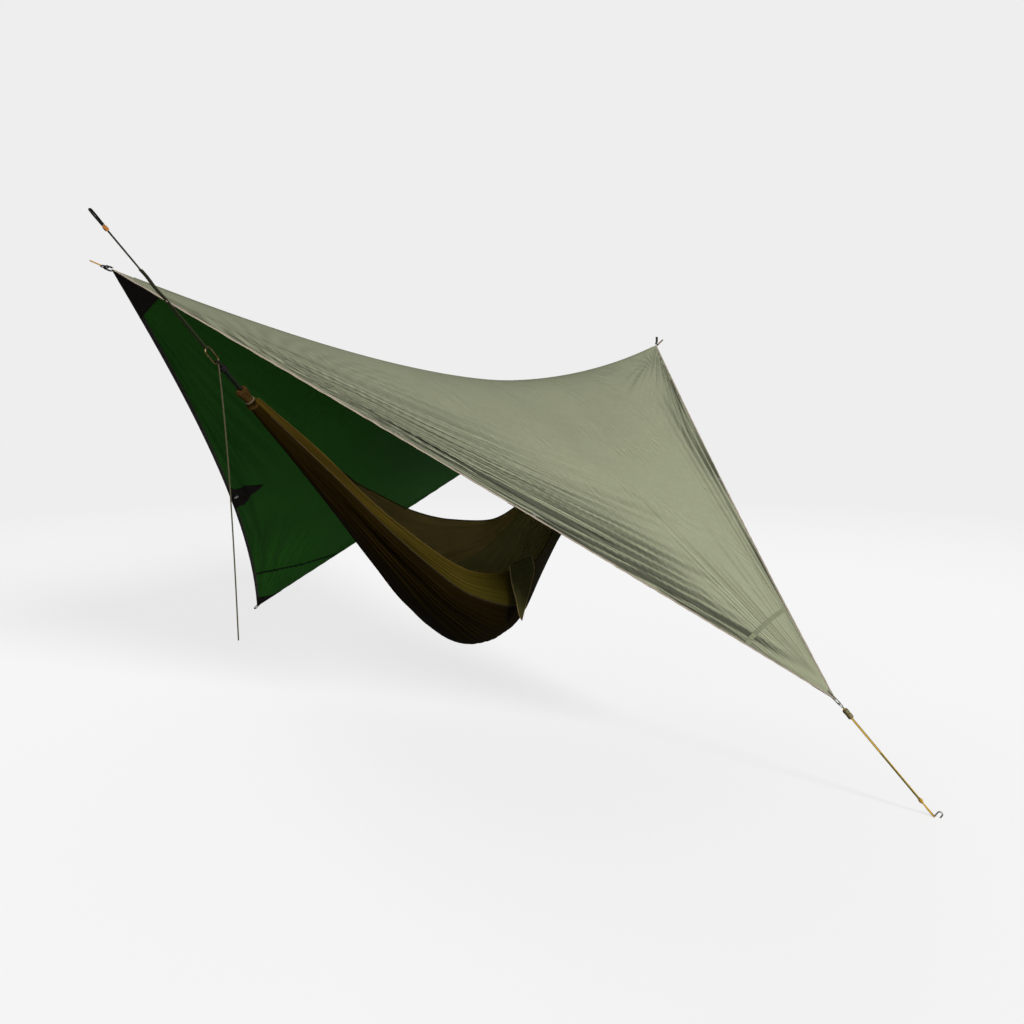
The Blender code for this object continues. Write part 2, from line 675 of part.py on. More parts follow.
def box_tool(name, centre, axes, sizes):
    bm = bmesh.new()
    bmesh.ops.create_cube(bm, size=1)
    turn = Matrix((axes[0] * sizes[0], axes[1] * sizes[1], axes[2] * sizes[2])).transposed().to_4x4()
    bmesh.ops.transform(bm, matrix=Matrix.Translation(centre) @ turn, verts=bm.verts)
    obj = mesh_object(name, bm, material("cutter", (1, 0, 0), 1))
    obj.hide_render = True
    obj.display_type = "WIRE"
    return obj


def make_carabiner(end, centre, direction, up):
    alloy = material("carabiner", (0.42, 0.36, 0.24), 0.35, 1.0)
    path = carabiner_path(centre, direction, up)
    body = sweep(f"{end}_carabiner", path, round_section(WIRE), ACROSS, alloy)
    pin_spot = centre + direction * PIN_AT + up * CARABINER_BEND
    slot_centre = pin_spot - direction * 0.0003
    cut(body, box_tool(f"{end}_gate_slot", slot_centre, (direction, up, ACROSS), (0.0060, 0.008, 0.0020)))
    cut(body, cutter(f"{end}_ear_hole", pin_spot, ACROSS, PIN_HOLE, 0.012))
    gate_foot = pin_spot + direction * 0.0036
    gate_top = centre + direction * GATE_END + up * CARABINER_BEND
    path = between(gate_foot, gate_top, 4)
    gate = sweep(f"{end}_carabiner_gate", path, round_section(GATE_R), ACROSS, alloy)
    tongue = box_tool(f"{end}_gate_tongue", pin_spot + direction * 0.0016, (direction, up, ACROSS),
                      (0.0066, 0.0034, 0.0014))
    cut(gate, tongue, "UNION")
    cut(gate, cutter(f"{end}_gate_hole", pin_spot, ACROSS, PIN_HOLE, 0.012))
    pin_start = pin_spot - ACROSS * WIRE
    profile = [(0, PIN_R), (2 * WIRE, PIN_R)]
    turned(f"{end}_gate_pin", profile, pin_start, ACROSS, alloy, steps=12, closed=False)


def rope_u(start, direction, half, run):
    """Two legs that run out along a direction and turn back round a bar."""
    path = between(start - ACROSS * half, start - ACROSS * half + direction * run, max(4, int(run / 0.03)))
    for k in range(1, 8):
        angle = math.pi * k / 8
        path.append(start + direction * (run + half * math.sin(angle)) - ACROSS * half * math.cos(angle))
    path += between(start + ACROSS * half + direction * run, start + ACROSS * half, max(4, int(run / 0.03)))
    return path


def make_suspension(end):
    black = material("hammock rope", (0.012, 0.011, 0.009), 0.8)
    olive = material("suspension webbing", (0.075, 0.070, 0.040), 0.8)
    dark = material("tree strap", (0.025, 0.022, 0.016), 0.8)
    orange = material("adjuster cord", (0.55, 0.25, 0.05), 0.7)
    cloth = material("hammock body", (0.055, 0.035, 0.012), 0.7)
    light = material("whipping", (0.30, 0.27, 0.20), 0.7)
    anchor, direction, up, length = suspension_frame(end)

    gather_end = length - 0.006
    gather_start = gather_end - GATHER_LENGTH
    profile = [(0, 0.0095), (0.012, 0.0115), (0.030, 0.0135), (0.050, 0.0155), (GATHER_LENGTH, 0.0195)]
    turned(f"{end}_gather", profile, anchor + direction * gather_start, direction, cloth, closed=False)
    ring_at = anchor + direction * (gather_start + WHIPPING_AT)
    ring = []
    spread = 0.0153 + WHIPPING_R + 0.0007
    turn = direction.to_track_quat("Z", "Y").to_matrix()
    for k in range(16):
        angle = 2 * math.pi * k / 16
        ring.append((math.cos(angle), math.sin(angle)))
    ring_points = [ring_at + turn @ Vector((c * spread, s * spread, 0)) for c, s in ring]
    sweep(f"{end}_whipping", ring_points, round_section(WHIPPING_R, 8), direction, light, closed=True)

    rope_half = WIRE + ROPE_R + GAP
    bar_low = gather_start - ROPE_LENGTH
    cord(f"{end}_hammock_rope",
         rope_u(anchor + direction * (gather_start - GAP), -direction, rope_half, ROPE_LENGTH - GAP),
         ROPE_R, black)
    centre_at = bar_low - CARABINER_HALF - CARABINER_BEND
    make_carabiner(end, anchor + direction * centre_at, direction, up)
    bar_high = centre_at - CARABINER_HALF - CARABINER_BEND
    leg_half = WIRE + LEG_R + GAP
    if end == "left":
        stops = LEFT_STOPS
        sweep("left_webbing_sleeve",
              between(anchor + direction * (stops["cord"] + GAP), anchor + direction * stops["sleeve"], 3),
              flat_section(SLEEVE_WIDTH, SLEEVE_THICK), ACROSS, olive)
        cord("left_suspension_cord",
             between(anchor + direction * (stops["adjuster"] + GAP), anchor + direction * stops["cord"], 8),
             SINGLE_CORD_R, dark)
        legs_from = stops["sleeve"] + GAP
    else:
        stops = RIGHT_STOPS
        legs_from = stops["adjuster"] + GAP
    cord(f"{end}_suspension_loop",
         rope_u(anchor + direction * legs_from, direction, leg_half, bar_high - legs_from), LEG_R, dark)
    knot = stops["adjuster"] - stops["strap"] - GAP
    profile = [(0, 0.0072), (knot * 0.3, 0.0082), (knot * 0.7, 0.0082), (knot, 0.0072)]
    turned(f"{end}_adjuster", profile, anchor + direction * (stops["strap"] + GAP), direction, orange,
           steps=12, closed=False)
    run = stops["strap"] - 0.006
    foot = anchor + direction * stops["strap"]
    path = u_path(foot, -direction, up, -STRAP_HALF_GAP, STRAP_HALF_GAP, run, 0)
    sweep(f"{end}_tree_strap", path[1:-1], flat_section(STRAP_WIDTH, LOOP_THICK), ACROSS, dark)
    return anchor + direction * (bar_low + WIRE)


def make_tail_cord(start):
    """A thin cord hanging from the left carabiner."""
    two_tone = material("tail cord", (0.10, 0.085, 0.03), 0.8)
    points = []
    for drop in TAIL_DROPS:
        lean = TAIL_LEAN * (1 - math.exp(-drop / TAIL_STRAIGHTENS))
        points.append(start + ALONG * lean - Vector((0, 0, drop)))
    cord("hanging_tail_cord", points, TAIL_R, two_tone)


def make_pouch():
    """A stuff pouch hanging outside the near lip, wide at the top and drawn to a tip."""
    olive = material("pouch", (0.07, 0.06, 0.02), 0.7)
    top = POUCH_TOP
    outline = [(1.63, top), (1.84, top + 0.005), (1.865, top - 0.05), (1.83, top - 0.12), (1.775, top - 0.20),
               (1.745, top - 0.245), (1.725, top - 0.225), (1.69, top - 0.15), (1.645, top - 0.06)]
    depth = -(smooth(HALF_WIDTH, POUCH_MIDDLE) + POUCH_CLEAR)
    bm = bmesh.new()
    skins = []
    for off in (-POUCH_THICK / 2, POUCH_THICK / 2):
        skins.append([bm.verts.new(hammock_point(s, depth + BELLY_SHIFT + off, z)) for s, z in outline])
    for skin in skins:
        bm.faces.new(skin)
    for k in range(len(outline)):
        m = (k + 1) % len(outline)
        bm.faces.new((skins[0][k], skins[0][m], skins[1][m], skins[1][k]))
    mesh_object("stuff_pouch", bm, olive)


def main():
    clear_scene()
    make_canopy()
    make_ridge_tape()
    make_hems()
    make_corner_patches()
    make_side_patches_and_eyelets()
    make_corner_loops()
    make_ridge_ties()
    make_guy_line()
    make_hull()
    tail_start = make_suspension("left")
    make_suspension("right")
    make_tail_cord(tail_start)
    make_pouch()


main()
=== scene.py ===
"""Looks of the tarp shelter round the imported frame: wrinkled canopy, gathered hammock, cords and webbing.

Metres, +Z up, +X along the ridge, origin where the left ridge tie cord ends.
"""

import math

import bpy
import numpy as np
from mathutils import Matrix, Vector


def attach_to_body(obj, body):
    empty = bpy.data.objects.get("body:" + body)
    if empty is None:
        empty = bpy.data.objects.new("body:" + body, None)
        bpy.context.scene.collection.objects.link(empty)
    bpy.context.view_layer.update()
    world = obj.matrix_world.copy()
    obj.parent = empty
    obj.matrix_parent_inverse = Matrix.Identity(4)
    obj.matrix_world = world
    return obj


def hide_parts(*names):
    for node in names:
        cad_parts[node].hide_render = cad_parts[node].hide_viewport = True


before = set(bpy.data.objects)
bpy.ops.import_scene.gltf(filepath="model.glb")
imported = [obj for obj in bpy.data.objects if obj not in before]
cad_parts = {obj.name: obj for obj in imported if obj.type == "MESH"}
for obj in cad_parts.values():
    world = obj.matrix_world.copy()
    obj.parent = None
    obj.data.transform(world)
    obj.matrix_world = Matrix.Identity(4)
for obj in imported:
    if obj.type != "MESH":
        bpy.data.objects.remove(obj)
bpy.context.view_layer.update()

# ---- canopy dimensions, as in the CAD -------------------------------------------------------------
HALF_RIDGE = 2.04
TIE_REACH = 0.0625
RIDGE_SAG = 0.256
SAG_POWER = 1.75
RIDGE_ROUND = 0.10
REACH = {"front": 1.511, "back": 1.546}
DROP = {"front": 1.510, "back": 1.475}
SIDE_SIGN = {"front": -1, "back": 1}
END_SIGN = {"left": -1, "right": 1}
HEM_BOW = {
    ("front", "left"): 0.020,
    ("front", "right"): 0.028,
    ("back", "left"): 0.078,
    ("back", "right"): -0.030,
}
EDGE_SLOPE = 0.72
HEM_CHORD = 2.96
HEM_TURN = 0.352
HEM_WIDTH = 0.014
EYELET_INSET = 0.024
EYELET_HOLE = 0.0060                   # radius of the hole that the cloth leaves for an eyelet
EYELET_EDGE = 0.0078                   # cloth nearer than this is pushed out to it
PATCH_HOLE = 0.0058
PATCH_HOLE_EDGE = 0.0075
SIDE_PATCH_HALF = 0.110
SIDE_PATCH_DEEP = 0.149
EYELET_ALONG = {("front", "left"): -0.075}
SEAM_ROW = 0.82
RIDGE_PATCH_EDGE = {"left": 0.250, "right": 0.150}
GAP = 0.0003

CLOTH = 0.0008
CANOPY_ROWS = 92                       # rows of the canopy mesh on each side of the ridge
CANOPY_COLUMNS = 132                   # columns on each side of the middle

TIE_SLOPE = SAG_POWER * RIDGE_SAG / HALF_RIDGE
TIE_OUT = Vector((-1, 0, TIE_SLOPE)).normalized()
LEFT_TIP = -TIE_OUT * TIE_REACH
MIDDLE = np.array(LEFT_TIP) + (HALF_RIDGE, 0, 0)

# ---- hammock dimensions, as in the CAD ------------------------------------------------------------
LEFT_ANCHOR = (-0.171, -0.150, 0.110)
RIGHT_ANCHOR = (4.340, 0.110, -0.100)
BELLY_SHIFT = -0.001
SIDE_BAND = 0.70
KEEL = [(0.54, -0.372), (0.75, -0.548), (1.00, -0.755), (1.25, -0.978), (1.50, -1.195),
        (1.85, -1.395), (2.20, -1.285), (2.60, -1.02), (3.00, -0.79), (3.45, -0.547)]
NEAR_LIP = [(0.54, -0.332), (0.80, -0.515), (1.10, -0.755), (1.45, -0.98), (1.80, -1.02),
            (2.20, -0.98), (2.60, -0.84), (3.00, -0.67), (3.45, -0.507)]
FAR_LIP = [(0.54, -0.332), (0.90, -0.515), (1.25, -0.63), (1.65, -0.76), (2.10, -0.89),
           (2.60, -0.92), (3.00, -0.77), (3.45, -0.507)]
HALF_WIDTH = [(0.54, 0.020), (0.80, 0.058), (1.10, 0.118), (1.45, 0.215), (1.80, 0.285),
              (2.30, 0.190), (2.70, 0.175), (3.05, 0.130), (3.45, 0.020)]
GATHER_LENGTH = 0.066
GATHER_GAP = 0.006                     # between the cloth's end on the line and its gather
WHIPPING_AT = 0.048
ROPE_LENGTH = 0.112
CARABINER_HALF = 0.017
CARABINER_BEND = 0.011
WIRE = 0.0025
ROPE_R = 0.003
LEG_R = 0.002
LEFT_STOPS = {"strap": 0.052, "adjuster": 0.070, "cord": 0.190, "sleeve": 0.295}
RIGHT_STOPS = {"strap": 0.250, "adjuster": 0.270}
TAIL_R = 0.0022
TAIL_DROPS = [0.0012, 0.02, 0.05, 0.09, 0.14, 0.20, 0.27, 0.34, 0.41, 0.48, 0.55, 0.63, 0.71, 0.795]
TAIL_LEAN = 0.042
TAIL_STRAIGHTENS = 0.35
GROUND_DROP = 1.907

HANG_LEFT = LEFT_TIP + Vector(LEFT_ANCHOR)
HANG_RIGHT = LEFT_TIP + Vector(RIGHT_ANCHOR)
ALONG = Vector((HANG_RIGHT.x - HANG_LEFT.x, HANG_RIGHT.y - HANG_LEFT.y, 0)).normalized()
ACROSS = Vector((-ALONG.y, ALONG.x, 0))
FLOOR = LEFT_TIP.z - GROUND_DROP
PALE = (0.855, 0.855, 0.855)


# ---- numbers and noise ----------------------------------------------------------------------------
def ramp(low, high, at):
    """0 below low, 1 above high, smooth between."""
    t = np.clip((at - low) / (high - low), 0, 1)
    return t * t * (3 - 2 * t)


def noise(a, b, seed):
    """Smooth noise between -1 and 1 on the plane (a, b)."""
    table = np.random.default_rng(seed).uniform(-1, 1, (128, 128))
    a, b = np.broadcast_arrays(np.asarray(a, float), np.asarray(b, float))
    i, j = np.floor(a).astype(int), np.floor(b).astype(int)
    s, t = a - i, b - j
    s, t = s * s * (3 - 2 * s), t * t * (3 - 2 * t)

    def corner(p, q):
        return table[(i + p) % 128, (j + q) % 128]

    near = (1 - s) * corner(0, 0) + s * corner(1, 0)
    far = (1 - s) * corner(0, 1) + s * corner(1, 1)
    return (1 - t) * near + t * far


def smooth(table, at):
    """Value at a station, on a smooth curve through (station, value) pairs."""
    k = 0
    while k < len(table) - 2 and at > table[k + 1][0]:
        k += 1
    (x0, y0), (x1, y1) = table[k], table[k + 1]
    span = x1 - x0
    slope0 = slope1 = (y1 - y0) / span
    if k > 0:
        slope0 = (y1 - table[k - 1][1]) / (x1 - table[k - 1][0])
    if k < len(table) - 2:
        slope1 = (table[k + 2][1] - y0) / (table[k + 2][0] - x0)
    t = (at - x0) / span
    keep0 = 2 * t**3 - 3 * t**2 + 1
    lean0 = t**3 - 2 * t**2 + t
    lean1 = t**3 - t**2
    return keep0 * y0 + lean0 * span * slope0 + (1 - keep0) * y1 + lean1 * span * slope1


def unit(a):
    return a / np.maximum(np.linalg.norm(a, axis=-1, keepdims=True), 1e-12)


def distance_along(points):
    """How far along a path each of its points lies."""
    return np.concatenate([[0], np.cumsum(np.linalg.norm(np.diff(points, axis=0), axis=1))])


# ---- meshes ---------------------------------------------------------------------------------------
def add_object(name, data):
    obj = bpy.data.objects.new(name, data)
    bpy.context.scene.collection.objects.link(obj)
    return obj


def attach(piece, body, slot, *nodes):
    """Fix a visual piece to its body, in place of CAD nodes where there are any; slot is not used."""
    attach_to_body(piece, body)
    if nodes:
        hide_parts(*nodes)
    return piece


def mesh_object(name, points, faces, materials, slots=None, uvs=None, sharp=50, shade=None):
    """A mesh from points and faces; slots gives each face's material and uvs each point's (u, v) in metres."""
    data = bpy.data.meshes.new(name)
    data.from_pydata([tuple(p) for p in points], [], faces)
    for finish in materials:
        data.materials.append(finish)
    if slots is not None:
        data.polygons.foreach_set("material_index", np.asarray(slots, np.int32))
    if uvs is not None:
        layer = data.uv_layers.new(name="cloth")
        index = np.empty(len(data.loops), np.int32)
        data.loops.foreach_get("vertex_index", index)
        layer.data.foreach_set("uv", np.asarray(uvs, np.float32)[index].ravel())
        if shade is not None:
            layer = data.uv_layers.new(name="shade")
            pair = np.stack([shade, np.zeros(len(shade))], -1)
            layer.data.foreach_set("uv", pair.astype(np.float32)[index].ravel())
    data.validate()
    data.shade_smooth()
    data.set_sharp_from_angle(angle=math.radians(sharp))
    return add_object(name, data)


def grid_faces(rows, columns):
    i, j = np.meshgrid(np.arange(rows - 1), np.arange(columns - 1), indexing="ij")
    a = i * columns + j
    return np.stack([a, a + 1, a + columns + 1, a + columns], -1).reshape(-1, 4)


def ring_faces(rings, size):
    """Faces between rings of size points each, from every ring to the next."""
    faces = []
    for i in range(0, (rings - 1) * size, size):
        for j in range(size):
            m = (j + 1) % size
            faces.append((i + j, i + m, i + size + m, i + size + j))
    return faces


def cap_faces(rings, size):
    """Fans that close the first and last ring with the two points that come after the rings."""
    tip, last = rings * size, (rings - 1) * size
    faces = []
    for j in range(size):
        m = (j + 1) % size
        faces += [(tip, m, j), (tip + 1, last + j, last + m)]
    return faces


def rim_walls(quads, count):
    """Faces between the open edges of a grid and those of its second skin, and which edges they stand on."""
    ends = np.concatenate([quads[:, [k, (k + 1) % 4]] for k in range(4)])
    _, index, times = np.unique(np.sort(ends, axis=1), axis=0, return_index=True, return_counts=True)
    edge = index[times == 1]
    rim = ends[edge]
    return np.stack([rim[:, 1], rim[:, 0], rim[:, 0] + count, rim[:, 1] + count], -1), edge


def two_skins(name, points, normals, thickness, materials, uvs, drop=None, sharp=60, slots=None, shade=None):
    """A closed sheet on a grid of points: material 0 on the side that normals point to, 1 on the other.

    drop is a grid of faces to leave out as holes; slots gives each grid face's pair number, and the materials
    then come in pairs.
    """
    rows, columns = points.shape[:2]
    count = rows * columns
    top = (points + normals * thickness / 2).reshape(-1, 3)
    low = (points - normals * thickness / 2).reshape(-1, 3)
    quads = grid_faces(rows, columns)
    a, b, c = (top[quads[0, k]] for k in range(3))
    if np.dot(np.cross(b - a, c - b), normals.reshape(-1, 3)[quads[0, 0]]) <= 0:
        quads = quads[:, ::-1]
    pair = np.zeros(len(quads), int) if slots is None else np.asarray(slots).ravel()
    if drop is not None:
        keep = ~drop.ravel()
        quads, pair = quads[keep], pair[keep]
    under = quads[:, [0, 3, 2, 1]] + count
    walls, edge = rim_walls(quads, count)
    faces = np.concatenate([quads, under, walls])
    place = np.concatenate([pair * 2, pair * 2 + 1, np.tile(pair, 4)[edge] * 2])
    return mesh_object(name, np.concatenate([top, low]), faces.tolist(), materials, place,
                       np.concatenate([uvs.reshape(-1, 2)] * 2), sharp,
                       None if shade is None else np.concatenate([shade.ravel()] * 2))


def path_frames(points, across=None):
    """Directions along a path and two normals at each point that turn as little as they can."""
    points = np.asarray(points, float)
    along = unit(np.gradient(points, axis=0))
    first = np.array(across if across is not None else (0, 0, 1), float)
    if abs(np.dot(first, along[0])) > 0.9:
        first = np.array((0.0, 1.0, 0.0))
    sides = []
    side = unit(first - along[0] * np.dot(first, along[0]))
    for way in along:
        side = unit(side - way * np.dot(side, way))
        sides.append(side)
    sides = np.array(sides)
    return points, along, sides, np.cross(along, sides)


def tube(name, points, radius, materials, sides=12, lobes=0, depth=0.0, pitch=0.0, across=None, slots=None,
         flat=1.0, switch=None):
    """A tube along points. Lobes are strands that go round once in each pitch, with grooves of a depth.

    radius is a number or one for each point, and flat squeezes the second direction. slots is how many materials
    the strands share out, and switch the share of the length at which the second material takes over.
    """
    points, along, first, second = path_frames(points, across)
    count = len(points)
    size = np.broadcast_to(np.asarray(radius, float), (count,)).copy()
    gone = distance_along(points)
    angle = np.linspace(0, 2 * math.pi, sides, endpoint=False)
    turn = 2 * math.pi * gone / pitch if pitch else np.zeros(count)
    shape = 1 - depth * (0.5 - 0.5 * np.cos(lobes * (angle[None, :] - turn[:, None]))) if lobes else 1.0
    reach = size[:, None] * shape * np.ones((count, sides))
    ring = (points[:, None, :] + first[:, None, :] * (reach * np.cos(angle))[..., None]
            + second[:, None, :] * (reach * np.sin(angle) * flat)[..., None])
    place = []
    if slots or switch:
        for i in range(count - 1):
            for j in range(sides):
                if slots:
                    place.append(int((angle[j] - turn[i]) / (2 * math.pi) * slots % slots))
                else:
                    place.append(int(i / count + 0.012 * math.cos(angle[j]) > switch))
        place += [0, 1 if switch else 0] * sides
    domes = [points[0] - along[0] * size[0] * 0.5, points[-1] + along[-1] * size[-1] * 0.5]
    uv = np.stack([np.repeat(gone, sides), np.tile(angle, count) * np.repeat(size, sides)], -1)
    return mesh_object(name, np.concatenate([ring.reshape(-1, 3), domes]),
                       ring_faces(count, sides) + cap_faces(count, sides), materials, place or None,
                       np.concatenate([uv, [(gone[0], 0), (gone[-1], 0)]]), 70)


def winding(start, axis, first, second, turns, steps, length, spread):
    """A cord's route round an axis. spread gives its two reaches at a share of the route and an angle."""
    path = []
    for k in range(turns * steps + 1):
        share, angle = k / (turns * steps), 2 * math.pi * k / steps
        a, b = spread(share, angle)
        path.append(start + axis * length * share + first * a * math.cos(angle) + second * b * math.sin(angle))
    return path


def fine_path(points, step):
    """The points of a smooth curve through a few points, about step apart."""
    points = np.asarray(points, float)
    gone = distance_along(points)
    count = max(3, int(math.ceil(gone[-1] / step)) + 1)
    at = np.linspace(0, gone[-1], count)
    slopes = np.gradient(points, gone, axis=0)
    k = np.clip(np.searchsorted(gone, at, side="right") - 1, 0, len(gone) - 2)
    span = (gone[k + 1] - gone[k])[:, None]
    t = (at - gone[k])[:, None] / span
    return ((2 * t**3 - 3 * t**2 + 1) * points[k] + (t**3 - 2 * t**2 + t) * span * slopes[k]
            + (3 * t**2 - 2 * t**3) * points[k + 1] + (t**3 - t**2) * span * slopes[k + 1])


def ribbon(name, points, across, width, thick, finish, columns=8):
    """Flat webbing along a path: rounded selvedges, a little thinner towards them."""
    points = np.asarray(points, float)
    count = len(points)
    along = unit(np.gradient(points, axis=0))
    across = unit(np.broadcast_to(np.asarray(across, float), points.shape))
    out = np.cross(along, across)
    section = []
    for k in range(columns + 1):
        share = -1 + 2 * k / columns
        section.append((share, math.sqrt(max(1 - share**6, 0.0)) * 0.92 + 0.08))
    loop = [(s, h) for s, h in section] + [(s, -h) for s, h in reversed(section)]
    verts, uv = [], []
    gone = distance_along(points)
    for i in range(count):
        for s, h in loop:
            verts.append(points[i] + across[i] * s * width / 2 + out[i] * h * thick / 2)
            uv.append((gone[i], (s + 1) * width / 2))
    size = len(loop)
    faces = ring_faces(count, size)
    faces.append(tuple(range(size - 1, -1, -1)))
    faces.append(tuple((count - 1) * size + j for j in range(size)))
    return mesh_object(name, verts, faces, [finish], None, uv, 55)


# ---- materials ------------------------------------------------------------------------------------
class Nodes:
    """A short way to write a node material."""

    def __init__(self, name):
        self.material = bpy.data.materials.new(name)
        self.material.use_nodes = True
        self.tree = self.material.node_tree
        self.shader = self.tree.nodes["Principled BSDF"]

    def add(self, kind, **values):
        node = self.tree.nodes.new(kind)
        for key, value in values.items():
            if key in node.inputs:
                node.inputs[key].default_value = value
            else:
                setattr(node, key, value)
        return node

    def link(self, out, into):
        self.tree.links.new(out, into)
        return into

    def put(self, value, socket):
        """Set a socket to a number or colour, or link another socket to it."""
        if isinstance(value, (int, float)):
            socket.default_value = value
        elif isinstance(value, tuple):
            socket.default_value = (*value, 1)
        else:
            self.link(value, socket)

    def coordinates(self, which="Object"):
        return self.add("ShaderNodeTexCoord").outputs[which]

    def split(self, vector):
        """The three numbers of a vector."""
        node = self.add("ShaderNodeSeparateXYZ")
        self.link(vector, node.inputs[0])
        return node.outputs

    def uv(self, scale=(1, 1, 1), turn=0.0):
        mapping = self.add("ShaderNodeMapping")
        mapping.inputs["Scale"].default_value = scale
        mapping.inputs["Rotation"].default_value = (0, 0, turn)
        self.link(self.coordinates("UV"), mapping.inputs["Vector"])
        return mapping.outputs["Vector"]

    def noise(self, scale, detail=3.0, vector=None, roughness=0.5):
        node = self.add("ShaderNodeTexNoise", Scale=scale, Detail=detail, Roughness=roughness)
        self.link(vector or self.coordinates(), node.inputs["Vector"])
        return node.outputs["Fac"]

    def wave(self, scale, vector, direction="X", profile="SIN"):
        node = self.add("ShaderNodeTexWave", Scale=scale)
        node.bands_direction = direction
        node.wave_profile = profile
        self.link(vector, node.inputs["Vector"])
        return node.outputs["Fac"]

    def math(self, operation, a, b=0.0, clamp=False):
        node = self.add("ShaderNodeMath", operation=operation, use_clamp=clamp)
        self.put(a, node.inputs[0])
        self.put(b, node.inputs[1])
        return node.outputs[0]

    def ramp(self, factor, stops):
        node = self.add("ShaderNodeValToRGB")
        while len(node.color_ramp.elements) < len(stops):
            node.color_ramp.elements.new(0.5)
        for element, (at, colour) in zip(node.color_ramp.elements, stops):
            element.position = at
            element.color = (*colour, 1)
        self.link(factor, node.inputs["Fac"])
        return node.outputs["Color"]

    def mix(self, factor, a, b, blend="MIX"):
        node = self.add("ShaderNodeMix", data_type="RGBA", blend_type=blend)
        for value, number in ((factor, 0), (a, 6), (b, 7)):
            self.put(value, node.inputs[number])
        return node.outputs[2]

    def bump(self, height, strength, distance, under=None):
        node = self.add("ShaderNodeBump", Strength=strength, Distance=distance)
        self.link(height, node.inputs["Height"])
        if under is not None:
            self.link(under, node.inputs["Normal"])
        return node.outputs["Normal"]

    def finish(self, colour, roughness, normal=None, metallic=0.0, sheen=0.0, specular=0.5, coat=0.0):
        for value, socket in ((colour, "Base Color"), (roughness, "Roughness"), (metallic, "Metallic"),
                              (sheen, "Sheen Weight"), (specular, "Specular IOR Level"), (coat, "Coat Weight")):
            self.put(value, self.shader.inputs[socket])
        if normal is not None:
            self.link(normal, self.shader.inputs["Normal"])
        return self.material


def shade(colour, by):
    return tuple(min(1.0, c * by) for c in colour)


CREASES = [                                 # corner, hem angle, width, pitch, slope, how far they reach
    ((-HALF_RIDGE, 0), -45, 15, 0.85, 0.85, 2.3),
    ((HALF_RIDGE, 0), -135, 17, 1.1, 0.70, 1.5),
    ((0, -HALF_RIDGE), 135, 10, 1.2, 0.55, 1.3),
    ((0, -HALF_RIDGE), 45, 14, 1.2, 0.60, 1.3),
    ((-HALF_RIDGE, 0), 45, 16, 1.3, 0.40, 1.4),
    ((HALF_RIDGE, 0), 135, 16, 1.3, 0.60, 1.5),
    ((0, HALF_RIDGE), -135, 14, 1.5, 0.40, 1.1),
    ((0, HALF_RIDGE), -45, 14, 1.5, 0.50, 1.1),
]


def crease_height(m):
    """Fine creases that run out from the corners beside the hems, and scattered crinkles, in metres."""
    u, v, _ = m.split(m.coordinates("UV"))
    total = None
    for k, (corner, hem, width, pitch, slope, reach) in enumerate(CREASES):
        du, dv = m.math("SUBTRACT", u, corner[0]), m.math("SUBTRACT", v, corner[1])
        away = m.math("SQRT", m.math("ADD", m.math("MULTIPLY", du, du), m.math("MULTIPLY", dv, dv)))
        off = m.math("SUBTRACT", m.math("MULTIPLY", m.math("ARCTAN2", dv, du), 180 / math.pi), hem)
        share = m.math("DIVIDE", off, width)
        fade = m.math("EXPONENT", m.math("MULTIPLY", m.math("MULTIPLY", share, share), -1))
        end = m.math("SUBTRACT", 1, m.math("DIVIDE", away, reach), clamp=True)
        end = m.math("MINIMUM", m.math("MULTIPLY", end, 2.5), 1)
        place = m.add("ShaderNodeCombineXYZ")
        m.link(m.math("DIVIDE", off, pitch), place.inputs[0])
        m.link(m.math("MULTIPLY", away, 2.6), place.inputs[1])
        place.inputs[2].default_value = 3.7 * k
        wave = m.math("SUBTRACT", m.noise(1.0, 1.5, place.outputs[0]), 0.5)
        size = m.math("MULTIPLY", away, 2.6 * slope * pitch * math.pi / 180)
        part = m.math("MULTIPLY", m.math("MULTIPLY", wave, size), m.math("MULTIPLY", fade, end))
        total = part if total is None else m.math("ADD", total, part)
    small = m.noise(1.0, 2.0, m.uv((34, 12, 1), 0.5))
    where = m.ramp(m.noise(3.2, 2.0, m.uv((1, 1.2, 1))), [(0.50, (0, 0, 0)), (0.66, (1, 1, 1))])
    small = m.math("MULTIPLY", m.math("SUBTRACT", small, 0.5), m.math("MULTIPLY", where, 0.013))
    return m.math("ADD", total, small)


